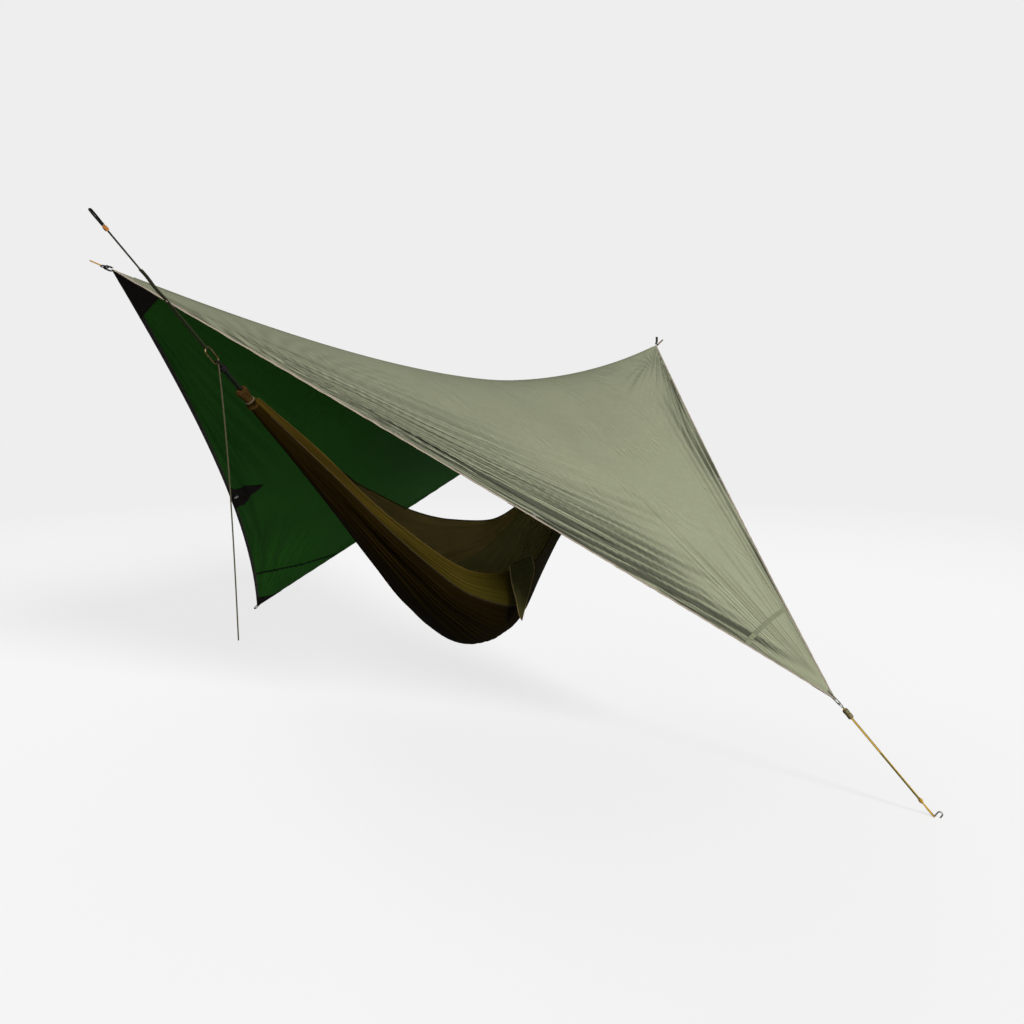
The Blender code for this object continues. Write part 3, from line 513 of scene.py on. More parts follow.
def ripstop(name, colour, cell, roughness, blotch=0.12, sheen=0.0, specular=0.4, creases=0.0,
            painted_fold_shade=0.0):
    """Coated ripstop cloth: a grid of thicker threads, faint blotches and fine creases. With creases, also
    painted light that darkens the cloth towards the ridge, and painted shade on one side of each fold.
    """
    m = Nodes(name)
    broad = m.noise(1.4, 4.0)
    fine = m.noise(28.0, 5.0, roughness=0.6)
    base = m.ramp(broad, [(0.30, shade(colour, 1 - blotch)), (0.72, shade(colour, 1 + blotch))])
    along = m.wave(math.pi / cell / 10, m.uv(), "X", "SAW")
    up = m.wave(math.pi / cell / 10, m.uv(), "Y", "SAW")
    threads = m.math("MAXIMUM", m.math("GREATER_THAN", along, 0.90), m.math("GREATER_THAN", up, 0.90))
    coloured = m.mix(m.math("MULTIPLY", threads, 0.16), base, shade(colour, 0.62))
    dirt = m.ramp(fine, [(0.35, (0.90, 0.90, 0.90)), (0.65, (1.0, 1.0, 1.0))])
    coloured = m.mix(0.6, coloured, dirt, "MULTIPLY")
    rough = m.math("ADD", m.math("MULTIPLY", fine, 0.18), roughness - 0.09)
    normal = m.bump(threads, 0.35, 0.0004)
    normal = m.bump(m.noise(60.0, 4.0, roughness=0.65), 0.12, 0.002, normal)
    if creases:
        normal = m.bump(m.math("MULTIPLY", crease_height(m), creases), 1.0, 1.0, normal)
        # painted light: the colour runs from darker at the ridge to full brightness 1.4 m down the slopes,
        # standing in for how the light falls on the cloth
        down = m.math("ABSOLUTE", m.split(m.coordinates("UV"))[1])
        painted_light_gradient = m.ramp(m.math("DIVIDE", down, 1.4, clamp=True), [(0.0, (0.74,) * 3), (1.0, (1.0,) * 3)])
        coloured = m.mix(1.0, coloured, painted_light_gradient, "MULTIPLY")
        # painted shade: where the shade map marks a fold's shaded side, the colour is darkened towards a deep
        # shade of the cloth, standing in for the fold's shade
        in_fold = m.split(m.add("ShaderNodeUVMap", uv_map="shade").outputs[0])[0]
        coloured = m.mix(m.math("MULTIPLY", in_fold, painted_fold_shade), coloured, shade(colour, 0.16))
    return m.finish(coloured, rough, normal, sheen=sheen, specular=specular)


def woven(name, colour, pitch, roughness=0.8, contrast=0.35, depth=0.0005, sheen=0.15, turn=math.pi / 4,
          accent=None):
    """Webbing, tape or braid: two crossing sets of ribs."""
    m = Nodes(name)
    scale = math.pi / pitch / 10
    warp = m.wave(scale, m.uv(turn=turn), "X")
    weft = m.wave(scale, m.uv(turn=turn), "Y")
    ribs = m.math("MULTIPLY", warp, weft)
    worn = m.noise(45.0, 4.0)
    base = m.ramp(ribs, [(0.0, shade(colour, 1 - contrast)), (0.8, shade(colour, 1 + contrast * 0.5))])
    if accent:
        fleck = m.ramp(warp, [(0.86, (0, 0, 0)), (0.93, (1, 1, 1))])
        base = m.mix(m.math("MULTIPLY", fleck, 0.8), base, accent)
    coloured = m.mix(m.math("MULTIPLY", worn, 0.35), base, shade(colour, 0.55))
    rough = m.math("ADD", m.math("MULTIPLY", worn, 0.2), roughness - 0.1)
    normal = m.bump(ribs, 0.6, depth)
    return m.finish(coloured, rough, normal, sheen=sheen, specular=0.25)


def nylon(name, colour, roughness=0.66, sheen=0.0, second=None, highlight_colour=None):
    """Thin hammock nylon: fine weave, long soft streaks along the cloth and, given a highlight colour, a painted
    highlight of lighter orange streaks towards the left end, where it is bunched.
    """
    m = Nodes(name)
    streak = m.noise(9.0, 4.0, m.uv((0.35, 6.0, 1)))
    broad = m.noise(2.2, 3.0)
    base = m.ramp(streak, [(0.30, shade(colour, 0.72)), (0.72, shade(second or colour, 1.2))])
    base = m.mix(0.5, base, m.ramp(broad, [(0.3, shade(colour, 0.7)), (0.75, shade(colour, 1.25))]))
    if highlight_colour:
        # painted highlight: lit-looking orange streaks, full up to station 0.74 m along the hammock and gone by
        # station 1.65 m
        run = m.split(m.coordinates("UV"))[0]
        bunched = m.math("MULTIPLY", m.math("SUBTRACT", 1.65, run), 1.1, clamp=True)
        painted_highlight = m.ramp(streak, [(0.42, shade(highlight_colour, 0.35)), (0.60, highlight_colour)])
        base = m.mix(bunched, base, painted_highlight)
    weave = m.math("MULTIPLY", m.wave(math.pi / 0.0016 / 10, m.uv(), "X"),
                   m.wave(math.pi / 0.0016 / 10, m.uv(), "Y"))
    rough = m.math("ADD", m.math("MULTIPLY", streak, 0.2), roughness - 0.1)
    normal = m.bump(weave, 0.2, 0.0003)
    normal = m.bump(streak, 0.25, 0.004, normal)
    return m.finish(base, rough, normal, sheen=sheen, specular=0.02)


def metal(name, colour, roughness, wear=(0.75, 0.72, 0.66)):
    """Anodised or bare metal: brushed, lighter where it has rubbed."""
    m = Nodes(name)
    rub = m.noise(160.0, 4.0)
    brush = m.noise(900.0, 2.0)
    base = m.ramp(rub, [(0.45, colour), (0.68, wear)])
    rough = m.math("ADD", m.math("MULTIPLY", brush, 0.25), roughness - 0.12)
    return m.finish(base, rough, m.bump(brush, 0.15, 0.0002), metallic=1.0)


def moulded(name, colour, roughness=0.5):
    """Moulded plastic with a faint grain."""
    m = Nodes(name)
    grain = m.noise(1400.0, 3.0)
    scuff = m.noise(120.0, 4.0)
    base = m.ramp(scuff, [(0.40, colour), (0.75, shade(colour, 2.2))])
    rough = m.math("ADD", m.math("MULTIPLY", scuff, 0.25), roughness - 0.12)
    return m.finish(base, rough, m.bump(grain, 0.2, 0.0002))


def make_materials():
    return {
        "outer": ripstop("tarp outside", (0.362, 0.381, 0.247), 0.0075, 0.55, 0.07, 0.0, 0.22, 1.0, 0.97),
        # painted shade: the tarp's inside, the same cloth as its outside, is a far darker, deeper green,
        # standing in for the shade under the canopy with light coming through the cloth
        "inner": ripstop("tarp inside", (0.037, 0.200, 0.020), 0.0075, 0.60, 0.16, 0.0, 0.05, -0.5, 0.3),
        "seam": ripstop("tarp seam", (0.225, 0.240, 0.148), 0.0040, 0.55),
        # painted shade: the seam tape's inside is a dark copy of its outside
        "seam_inner": ripstop("tarp seam inside", (0.006, 0.026, 0.005), 0.0040, 0.55, specular=0.05),
        "hem": woven("hem tape", (0.48, 0.405, 0.305), 0.0016),
        # painted shade: the binding's inside is near-black, a shaded copy of its tan outside
        "hem_inner": woven("hem tape inside", (0.012, 0.011, 0.008), 0.0016),
        "patch": woven("reinforcement", (0.0125, 0.0078, 0.0038), 0.0022, sheen=0.0),
        "webbing": woven("corner webbing", (0.020, 0.018, 0.016), 0.0018, sheen=0.0),
        "tab": woven("right corner webbing", (0.055, 0.062, 0.050), 0.0018),
        "thread": woven("stitching thread", (0.055, 0.060, 0.038), 0.0010),
        "thread_brown": woven("brown thread", (0.050, 0.032, 0.008), 0.0010),
        "thread_light": woven("light thread", (0.26, 0.22, 0.14), 0.0010),
        "yellow": woven("yellow cord", (0.85, 0.42, 0.05), 0.0016),
        "tan": woven("tan cord", (0.30, 0.20, 0.10), 0.0016, accent=(0.06, 0.05, 0.03)),
        "gold": woven("gold cord", (0.78, 0.44, 0.020), 0.0022, contrast=0.35, accent=(0.85, 0.66, 0.20)),
        "olive": woven("olive cord", (0.170, 0.150, 0.022), 0.0022, contrast=0.4, accent=(0.20, 0.18, 0.04)),
        # painted shade: the hammock's outside is near-black, standing in for the shade of the tarp over it; its
        # inside, the same cloth, is far lighter, as painted light falling into the hammock
        "body": nylon("hammock body", (0.0090, 0.0052, 0.0005), second=(0.0056, 0.0036, 0.0004),
                      highlight_colour=(0.022, 0.0125, 0.0014)),
        "body_in": nylon("hammock inside", (0.330, 0.290, 0.110), second=(0.370, 0.240, 0.080)),
        # painted shade and light: the band's outside is dark and its inside, the same cloth, far lighter, for
        # shade outside and light inside
        "band": nylon("hammock band", (0.050, 0.036, 0.0040), second=(0.038, 0.037, 0.005),
                      highlight_colour=(0.072, 0.046, 0.0055)),
        "band_in": nylon("hammock band inside", (0.460, 0.320, 0.110)),
        "lip": nylon("hammock hem", (0.105, 0.066, 0.014)),
        "pouch": nylon("pouch cloth", (0.050, 0.050, 0.015), second=(0.064, 0.056, 0.018)),
        "piping": nylon("pouch piping", (0.20, 0.14, 0.06)),
        "gather": nylon("bunched cloth", (0.052, 0.028, 0.007)),
        "pale_webbing": woven("front corner webbing", (0.20, 0.21, 0.15), 0.0018),
        "rope": woven("black rope", (0.011, 0.010, 0.008), 0.0020, sheen=0.0),
        "strap": woven("tree strap", (0.022, 0.020, 0.014), 0.0016, sheen=0.0),
        "sleeve": woven("webbing sleeve", (0.055, 0.054, 0.026), 0.0016, sheen=0.0, accent=(0.10, 0.09, 0.05)),
        "dark_cord": woven("suspension cord", (0.024, 0.022, 0.013), 0.0014, sheen=0.0,
                           accent=(0.12, 0.10, 0.04)),
        "orange": woven("orange cord", (0.62, 0.23, 0.035), 0.0016),
        "tail": woven("tail cord", (0.072, 0.062, 0.020), 0.0014, accent=(0.16, 0.13, 0.05)),
        "alloy": metal("carabiner alloy", (0.26, 0.18, 0.06), 0.34, (0.62, 0.52, 0.28)),
        "steel": metal("satin steel", (0.42, 0.42, 0.41), 0.34),
        "eyelet": metal("bare eyelet", (0.92, 0.92, 0.90), 0.42, (0.95, 0.95, 0.93)),
        "black": moulded("black plastic", (0.018, 0.018, 0.018)),
        "tensioner": moulded("tensioner plastic", (0.105, 0.080, 0.028)),
    }


# ---- the canopy surface ---------------------------------------------------------------------------
def rounded(v):
    whole = math.sqrt(1 + RIDGE_ROUND**2) - RIDGE_ROUND
    return (np.sqrt(v * v + RIDGE_ROUND**2) - RIDGE_ROUND) / whole


def canopy_base(side, v, x):
    """The smooth canopy: v runs from 0 at the ridge to 1 at the side's low corner, x from the middle."""
    v, x = np.broadcast_arrays(np.asarray(v, float), np.asarray(x, float))
    w = np.minimum(np.abs(x) / np.maximum(HALF_RIDGE * (1 - v), 1e-6), 1.2)
    rise = RIDGE_SAG * (1 - v) * w**SAG_POWER
    fall = (DROP[side] - RIDGE_SAG) * (rounded(v) * (1 - w * w) + v * w * w)
    y = SIDE_SIGN[side] * REACH[side] * v
    return np.stack([MIDDLE[0] + x, MIDDLE[1] + y, MIDDLE[2] + rise - fall - RIDGE_SAG], -1)


def surface_normal(surface, side, v, x, step, upward):
    """Normal of a surface on the side that upward points to. On the ridge it doesn't lean to either side."""
    low = np.clip(v - step, 0, 1)
    along = surface(side, v, x + step) - surface(side, v, x - step)
    down = surface(side, low + 2 * step, x) - surface(side, low, x)
    normal = np.cross(along, down)
    normal *= np.where(np.sum(normal * upward, -1, keepdims=True) < 0, -1, 1)
    normal[..., 1] = np.where(np.broadcast_to(v, normal.shape[:-1]) < 0.001, 0, normal[..., 1])
    return unit(normal)


def canopy_normal(side, v, x):
    """Upward normal of the smooth canopy."""
    return surface_normal(canopy_base, side, v, x, 0.002, np.array((0.0, 0.0, 1.0)))


def hem_bow(side, end, v):
    """How far a hem bows in at v, 0 at both of its ends."""
    return HEM_BOW[side, end] * 4 * v * (1 - v)


def hem_x(side, end, v, inset=0.0):
    return HALF_RIDGE * (1 - v) - (hem_bow(side, end, v) + inset) / EDGE_SLOPE


def hem_end_v(side, end, inset):
    v = 1.0
    for _ in range(8):
        v = 1 - (GAP + (hem_bow(side, end, v) + inset) / EDGE_SLOPE) / HALF_RIDGE
    return v


def hem_spot(side, end, along, inset):
    """(v, x) at a distance along a hem from its middle, and an inset in from it."""
    v_edge = 0.5 + along / HEM_CHORD
    x = hem_x(side, end, v_edge) - inset * EDGE_SLOPE
    return v_edge - inset * HEM_TURN, END_SIGN[end] * x


def eyelet_spot(side, end):
    return hem_spot(side, end, EYELET_ALONG.get((side, end), 0), EYELET_INSET)


def fan(x, y, corner, hem_angle, width, pitch, slope, lee, reach, seed):
    """Folds that leave a corner beside a hem: (height, shade), shade being 1 deep on one side of each fold.

    Angles are in degrees on the flat cloth, pitch is the angle from fold to fold, lee is 1 where the shaded
    sides face away from the hem and -1 where they face it, and reach is four distances: where the folds
    begin, are full, weaken and end.
    """
    dx, dy = x - corner[0], y - corner[1]
    away = np.hypot(dx, dy)
    off = np.degrees(np.arctan2(dy, dx)) - hem_angle
    off = np.abs((off + 180) % 360 - 180)
    turn = 2 * math.pi * (off / pitch + 0.50 * noise(off / (2.2 * pitch), away / 0.75, seed))
    wave = np.sin(turn) + 0.30 * np.sin(2.3 * turn + 4 * noise(off / pitch, away / 0.5, seed + 2))
    strength = 0.72 + 0.45 * noise(off / (1.3 * pitch), away / 0.60, seed + 1)
    ragged = away + 0.45 * noise(off / pitch * 0.8, 0.5, seed + 7)
    band = ramp(reach[0], reach[1], away) * (1 - ramp(reach[2], reach[3], ragged)) * np.exp(-(off / width)**2)
    size = slope * math.radians(pitch) / (2 * math.pi) * away
    shade = ramp(-0.45, 0.65, -lee * np.cos(turn)) * np.clip(1.45 * strength, 0, 1) * min(1, 1.7 * slope)
    return size * wave * strength * band, shade * np.minimum(1, 1.25 * band)


FANS = {
    "front": [
        ((-HALF_RIDGE, 0), 45, 15, 2.1, 0.62, -1, (0.02, 0.20, 1.9, 2.5), 11),
        ((-HALF_RIDGE, 0), 24, 13, 3.1, 0.22, -1, (0.10, 0.5, 0.9, 1.5), 17),
        ((HALF_RIDGE, 0), 135, 9, 2.4, 0.90, 1, (0.03, 0.15, 0.6, 1.5), 23),
        ((0, HALF_RIDGE), -135, 7, 2.2, 0.50, -1, (0.03, 0.25, 0.8, 1.3), 37),
        ((0, HALF_RIDGE), -45, 7, 2.3, 0.80, 1, (0.03, 0.25, 1.4, 2.3), 41),
        ((0, HALF_RIDGE), -90, 34, 4.4, 0.30, -1, (0.03, 0.20, 0.5, 1.0), 53),
        ((HALF_RIDGE, 0), 152, 15, 3.2, 0.42, 1, (0.03, 0.15, 0.4, 1.1), 59),
    ],
    "back": [
        ((-HALF_RIDGE, 0), 45, 13, 2.6, 0.60, 1, (0.10, 0.4, 1.0, 1.9), 61),
        ((HALF_RIDGE, 0), 135, 13, 2.6, 0.60, -1, (0.05, 0.4, 1.0, 1.8), 67),
        ((0, HALF_RIDGE), -135, 11, 3.0, 0.50, 1, (0.05, 0.25, 0.8, 1.3), 71),
        ((0, HALF_RIDGE), -45, 11, 2.8, 0.50, -1, (0.05, 0.25, 0.8, 1.3), 73),
        ((0, HALF_RIDGE), -100, 34, 6.0, 0.22, 1, (0.05, 0.20, 0.5, 0.9), 79),
        ((-HALF_RIDGE, 0), 24, 13, 3.6, 0.26, 1, (0.10, 0.5, 1.0, 1.7), 83),
    ],
}


def hem_distance(side, v, x):
    """How far in from the nearer hem."""
    return np.minimum(hem_x(side, "left", v) + x, hem_x(side, "right", v) - x) * EDGE_SLOPE


def fold_shade(side, v, x):
    """How deep in the shade of a fold each point of the cloth lies, 0 to 1; the material darkens the cloth by it
    as painted shade.
    """
    v, x = np.broadcast_arrays(np.asarray(v, float), np.asarray(x, float))
    shade = sum(fan(x, HALF_RIDGE * v, *values)[1] for values in FANS[side])
    return np.clip(shade * ramp(0.002, 0.02, hem_distance(side, v, x)), 0, 1)


def folds(side, v, x):
    """How far the wrinkled cloth stands off the smooth canopy."""
    v, x = np.broadcast_arrays(np.asarray(v, float), np.asarray(x, float))
    y = HALF_RIDGE * v
    height = sum(fan(x, y, *values)[0] for values in FANS[side])
    height = height + roll_beside_hems(side, v, x)
    height = height + 0.0050 * noise(x / 0.55 + 9, y / 0.55, 91) * ramp(0.0, 0.25, v)
    patches = ramp(0.05, 0.5, noise(x / 0.28 + 31, y / 0.24, 97 if side == "front" else 98))
    height = height + crinkles(side, x, y) * patches * ramp(0.03, 0.2, v)
    for end in END_SIGN:
        spot_v, spot_x = eyelet_spot(side, end)
        away = np.hypot(x - spot_x, y - HALF_RIDGE * spot_v)
        height = height * (1 - np.exp(-(away / 0.035)**2))
    height = height * ramp(0.004, 0.030, hem_distance(side, v, x))
    return height * ramp(0.0, 0.12, v) * (1 - ramp(0.965, 0.995, v))


def roll_beside_hems(side, v, x):
    """Long shallow rolls of slack cloth just inside the hems."""
    height = 0.0
    for end, sign in END_SIGN.items():
        inset = (hem_x(side, end, v) - sign * x) * EDGE_SLOPE
        run = v * HEM_CHORD
        seed = 101 + 7 * (side == "back") + 3 * (end == "right")
        waves = noise(run / 0.45, inset / 0.030 + 0.4 * noise(run / 0.3, 0.5, seed + 1), seed)
        height = height + 0.0052 * waves * ramp(0.004, 0.03, inset) * (1 - ramp(0.05, 0.16, inset))
    return height


def crinkles(side, x, y):
    """Small crow's feet scattered over the cloth, lying roughly down the slope."""
    seed = 131 if side == "front" else 137
    lean = x * 0.9 + y * 0.45 * np.sign(x)
    sharp = noise(lean / 0.030, (y - 0.4 * np.abs(x)) / 0.085, seed)
    sharp = np.sign(sharp) * ramp(0.25, 0.9, np.abs(sharp))
    return 0.0016 * sharp + 0.0010 * noise(x / 0.045, y / 0.06, seed + 1)


def cloth(side, v, x, lift=0.0):
    """Points of the wrinkled canopy, moved out along its smooth normal by lift."""
    return canopy_base(side, v, x) + canopy_normal(side, v, x) * (folds(side, v, x) + lift)[..., None]


def cloth_normal(side, v, x):
    """Upward normal of the wrinkled canopy."""
    v, x = np.broadcast_arrays(np.asarray(v, float), np.asarray(x, float))
    return surface_normal(cloth, side, v, x, 0.0025, canopy_normal(side, v, x))


def canopy_grid(side, v_list, shares, inset):
    """v and x of a grid whose rows run from the left hem to the right one."""
    v = np.asarray(v_list)[:, None] * np.ones(len(shares))[None, :]
    left = np.maximum(hem_x(side, "left", v, inset), 0.0012)
    right = np.maximum(hem_x(side, "right", v, inset), 0.0012)
    share = np.asarray(shares)[None, :]
    return v, np.where(share < 0, left, right) * share


def make_canopy(mats):
    """One continuous cloth over the ridge, with a hole under each eyelet."""
    inset = 0.003
    last = min(hem_end_v(side, end, inset) for side, end in HEM_BOW)
    v_list = last * np.linspace(0, 1, CANOPY_ROWS + 1)**1.04
    shares = np.linspace(-1, 1, 2 * CANOPY_COLUMNS + 1)
    points, normals, uvs, shade = [], [], [], []
    for side in ("front", "back"):
        v, x = canopy_grid(side, v_list, shares, inset)
        # painted fold shade for each point, handed to the material in the shade map
        shade.append(fold_shade(side, v, x))
        points.append(cloth(side, v, x))
        normals.append(cloth_normal(side, v, x))
        uvs.append(np.stack([x, HALF_RIDGE * v * SIDE_SIGN[side]], -1))
    points, normals, uvs, shade = (np.concatenate([a[::-1], b[1:]]) for a, b in (points, normals, uvs, shade))
    drop = np.zeros((points.shape[0] - 1, points.shape[1] - 1), bool)
    for side, end in HEM_BOW:
        v, x = eyelet_spot(side, end)
        centre = np.array([x, HALF_RIDGE * v * SIDE_SIGN[side]])
        off = uvs - centre
        away = np.linalg.norm(off, axis=-1)
        spot, up = canopy_base(side, v, x), canopy_normal(side, v, x)
        near = away < EYELET_EDGE
        pushed = centre + off * (EYELET_EDGE / np.maximum(away, 1e-5))[..., None]
        moved_v = np.abs(pushed[..., 1]) / HALF_RIDGE
        points[near] = canopy_base(side, moved_v[near], pushed[..., 0][near])
        uvs[near] = pushed[near]
        middle = (points[:-1, :-1] + points[1:, :-1] + points[:-1, 1:] + points[1:, 1:]) / 4 - spot
        flat = middle - up * (middle @ up)[..., None]
        drop |= (np.linalg.norm(flat, axis=-1) < EYELET_HOLE) & (np.linalg.norm(middle, axis=-1) < 0.03)
    canopy = two_skins("canopy_cloth", points, normals, CLOTH, [mats["outer"], mats["inner"]], uvs, drop,
                       shade=shade)
    attach(canopy, "root", "tarp_cloth", "canopy_front_panel", "canopy_front_corner", "canopy_back_panel",
           "canopy_back_corner")
    return canopy


def strip_on_canopy(name, rows, lifts, materials, slot, thickness, nodes=()):
    """A strip that follows the wrinkled canopy: rows of (side, v, x), one lift for each row."""
    points, normals, uvs = [], [], []
    for (side, v, x), lift in zip(rows, lifts):
        normal = cloth_normal(side, v, x)
        points.append(cloth(side, v, x) + normal * lift)
        normals.append(normal)
    points, normals = np.array(points), np.array(normals)
    run = np.linalg.norm(np.diff(points, axis=1), axis=-1).cumsum(axis=1)
    run = np.concatenate([np.zeros((len(run), 1)), run], axis=1)
    cross = np.linalg.norm(np.diff(points, axis=0), axis=-1).cumsum(axis=0)
    cross = np.concatenate([np.zeros((1, run.shape[1])), cross], axis=0)
    uvs = np.stack([run, cross], -1)
    strip = two_skins(name, points, normals, thickness, materials, uvs)
    return attach(strip, "root", slot, *nodes)


def make_hems(mats):
    """Folded binding round the edge: a closed section that follows the wrinkled cloth."""
    section = [(0.0140, 0.0008), (0.0120, 0.0012), (0.0080, 0.0014), (0.0030, 0.0013), (0.0006, 0.0009),
               (0.0000, 0.0000), (0.0006, -0.0009), (0.0030, -0.0013), (0.0080, -0.0014), (0.0120, -0.0012),
               (0.0140, -0.0008)]
    stations = 260
    for side, end in HEM_BOW:
        rings = []
        for inset, height in section:
            v = np.linspace(GAP / REACH[side], hem_end_v(side, end, inset), stations + 1)
            x = END_SIGN[end] * hem_x(side, end, v, inset)
            pucker = 0.0004 * np.sin(v * HEM_CHORD / 0.011) + 0.0009 * noise(v * HEM_CHORD / 0.03, 0.5, 151)
            pucker = pucker * ramp(0.0, 0.03, v) * (1 - ramp(0.97, 1.0, v))
            normal = cloth_normal(side, np.clip(v, 0, 1), x)
            rings.append(cloth(side, v, x) + normal * (height + pucker)[:, None])
        rings = np.array(rings)
        size = len(section)
        run = np.linspace(0, HEM_CHORD, stations + 1)
        verts = rings.transpose(1, 0, 2).reshape(-1, 3)
        uv = [(run[i], section[j][0] + 0.02 * (section[j][1] < 0)) for i in range(stations + 1)
              for j in range(size)]
        faces = ring_faces(stations + 1, size)
        place = [int(5 <= j <= 9) for j in range(size)] * stations
        faces.append(tuple(range(size)))
        faces.append(tuple(stations * size + j for j in range(size)))
        place += [0, 0]
        if SIDE_SIGN[side] * END_SIGN[end] < 0:
            faces = [f[::-1] for f in faces]
        hem = mesh_object(f"binding_{side}_{end}", verts, faces, [mats["hem"], mats["hem_inner"]], place, uv)
        attach(hem, "root", "hem_tape", f"hem_{side}_{end}")
        make_hem_stitches(side, end, mats)


def make_hem_stitches(side, end, mats):
    """A row of stitches along the inner edge of the binding, on both faces."""
    pitch, length = 0.0075, 0.0048
    count = int((HEM_CHORD - 0.10) / pitch)
    v = (0.05 + np.arange(count) * pitch) / HEM_CHORD
    half = length / 2 / HEM_CHORD
    verts, faces = [], []
    for lift in (0.0016, -0.0016):
        ends = []
        for shift in (-half, half):
            x = END_SIGN[end] * hem_x(side, end, v + shift, 0.0112)
            up = cloth_normal(side, v + shift, x)
            ends.append((cloth(side, v + shift, x) + up * lift, up))
        (a, up_a), (b, _) = ends
        along = unit(b - a)
        wide = np.cross(along, up_a) * 0.0005
        for k in range(count):
            base = len(verts)
            high = up_a[k] * math.copysign(0.0004, lift)
            verts += [a[k] - wide[k], a[k] + high, a[k] + wide[k], a[k] - high,
                      b[k] - wide[k], b[k] + high, b[k] + wide[k], b[k] - high]
            for j in range(4):
                m = (j + 1) % 4
                faces.append((base + j, base + m, base + 4 + m, base + 4 + j))
            faces += [(base + 3, base + 2, base + 1, base), (base + 4, base + 5, base + 6, base + 7)]
    stitches = mesh_object(f"stitches_{side}_{end}", verts, faces, [mats["thread_light"]], None,
                           [(p[0], p[1]) for p in verts])
    attach(stitches, "root", "hem_tape")


def edge_v(side, end, x):
    v = 1 - x / HALF_RIDGE
    for _ in range(6):
        v = 1 - (x + (hem_bow(side, end, v) + 0.001) / EDGE_SLOPE) / HALF_RIDGE
    return v


def make_patches(mats):
    """Corner and side reinforcements under the cloth."""
    dark = [mats["patch"], mats["patch"]]
    under = -0.0021
    for end, sign in END_SIGN.items():
        rows = []
        for x in np.linspace(0.010, 0.69 * RIDGE_PATCH_EDGE[end], 20):
            width = HALF_RIDGE - x
            v_front = edge_v("front", end, width)
            v_back = edge_v("back", end, width)
            share = np.linspace(-1, 1, 25)
            v = np.where(share < 0, -share * v_front, share * v_back)
            rows.append((share, v, sign * width))
        points, normals = [], []
        for share, v, x in rows:
            front = cloth("front", v, x)
            back = cloth("back", v, x)
            pick = (share < 0)[:, None]
            up = np.where(pick, cloth_normal("front", v, x), cloth_normal("back", v, x))
            points.append(np.where(pick, front, back) + up * under)
            normals.append(up)
        points, normals = np.array(points), np.array(normals)
        uvs = points[..., :2].copy()
        patch = two_skins(f"corner_patch_{end}", points, normals, 0.0010, dark, uvs)
        attach(patch, "root", "reinforcement", f"patch_{end}")
    for side in SIDE_SIGN:
        top = 1 - 0.150 / HEM_CHORD
        v_list = top + (0.992 - top) * np.linspace(0, 1, 14)
        v, x = canopy_grid(side, v_list, np.linspace(-1, 1, 21), 0.001)
        rows = [(side, v[k], x[k]) for k in range(len(v_list))]
        strip_on_canopy(f"corner_patch_{side}", rows, [under] * len(rows), dark, "reinforcement", 0.0010,
                        (f"patch_{side}",))
    for side, end in HEM_BOW:
        make_side_patch(side, end, under, dark)


def make_side_patch(side, end, under, dark):
    """A triangle whose long side lies on the hem, with a hole where the eyelet goes through."""
    middle = EYELET_ALONG.get((side, end), 0)
    rows = []
    for share in np.linspace(0, 1, 25):
        half = SIDE_PATCH_HALF * (1 - share) + 0.002
        inset = 0.0010 + (SIDE_PATCH_DEEP - 0.0010) * share
        rows.append(hem_spot(side, end, middle + half * np.linspace(-1, 1, 37), inset))
    v, x = (np.array(values) for values in zip(*rows))
    normals = cloth_normal(side, v, x)
    points = cloth(side, v, x) + normals * under
    spot_v, spot_x = eyelet_spot(side, end)
    centre = canopy_base(side, spot_v, spot_x)
    up = canopy_normal(side, spot_v, spot_x)
    off = points - centre
    flat = off - up * (off @ up)[..., None]
    away = np.linalg.norm(flat, axis=-1)
    near = away < PATCH_HOLE_EDGE
    points[near] += flat[near] * (PATCH_HOLE_EDGE / np.maximum(away[near], 1e-5) - 1)[:, None]
    middle = (points[:-1, :-1] + points[1:, :-1] + points[:-1, 1:] + points[1:, 1:]) / 4 - centre
    drop = np.linalg.norm(middle - up * (middle @ up)[..., None], axis=-1) < PATCH_HOLE
    uvs = np.stack([x, v * HALF_RIDGE], -1)
    patch = two_skins(f"side_triangle_{side}_{end}", points, normals, 0.0010, dark, uvs, drop)
    attach(patch, "root", "reinforcement", f"side_patch_{side}_{end}")


def make_seams(mats):
    """The ridge seam and the curved seams that join the corner pieces, felled flat on the cloth."""
    reach = HALF_RIDGE - 0.07
    x = np.linspace(-reach, reach, 240)
    points, normals = [], []
    for share in (-1, -0.6, 0, 0.6, 1):
        side = "back" if share > 0 else "front"
        v = np.full_like(x, abs(share) * 0.008 / REACH[side])
        up = cloth_normal(side, v, x)
        points.append(cloth(side, v, x) + up * (0.0011 + 0.0005 * (1 - abs(share))))
        normals.append(up)
    points, normals = np.array(points), np.array(normals)
    uvs = np.stack(np.broadcast_arrays(x[None, :], np.linspace(0, 0.016, 5)[:, None]), -1)
    tape = two_skins("ridge_seam", points, normals, 0.0008, [mats["seam"], mats["seam_inner"]], uvs)
    attach(tape, "root", "seam_tape", "ridge_seam_tape")
    for side in SIDE_SIGN:
        for name, lift, finish in (("outside", 0.0011, "seam"), ("inside", -0.0011, "seam_inner")):
            rows = []
            for step in np.linspace(-0.0045, 0.0045, 4):
                share = np.linspace(-0.985, 0.985, 150)
                curve = SEAM_ROW - 0.012 * (1 - share * share) + step
                left = hem_x(side, "left", curve, HEM_WIDTH)
                right = hem_x(side, "right", curve, HEM_WIDTH)
                rows.append((side, curve, np.where(share < 0, left, right) * share))
            strip_on_canopy(f"{side}_corner_seam_{name}", rows, [lift] * 4, [mats[finish]] * 2, "seam_tape",
                            0.0009)


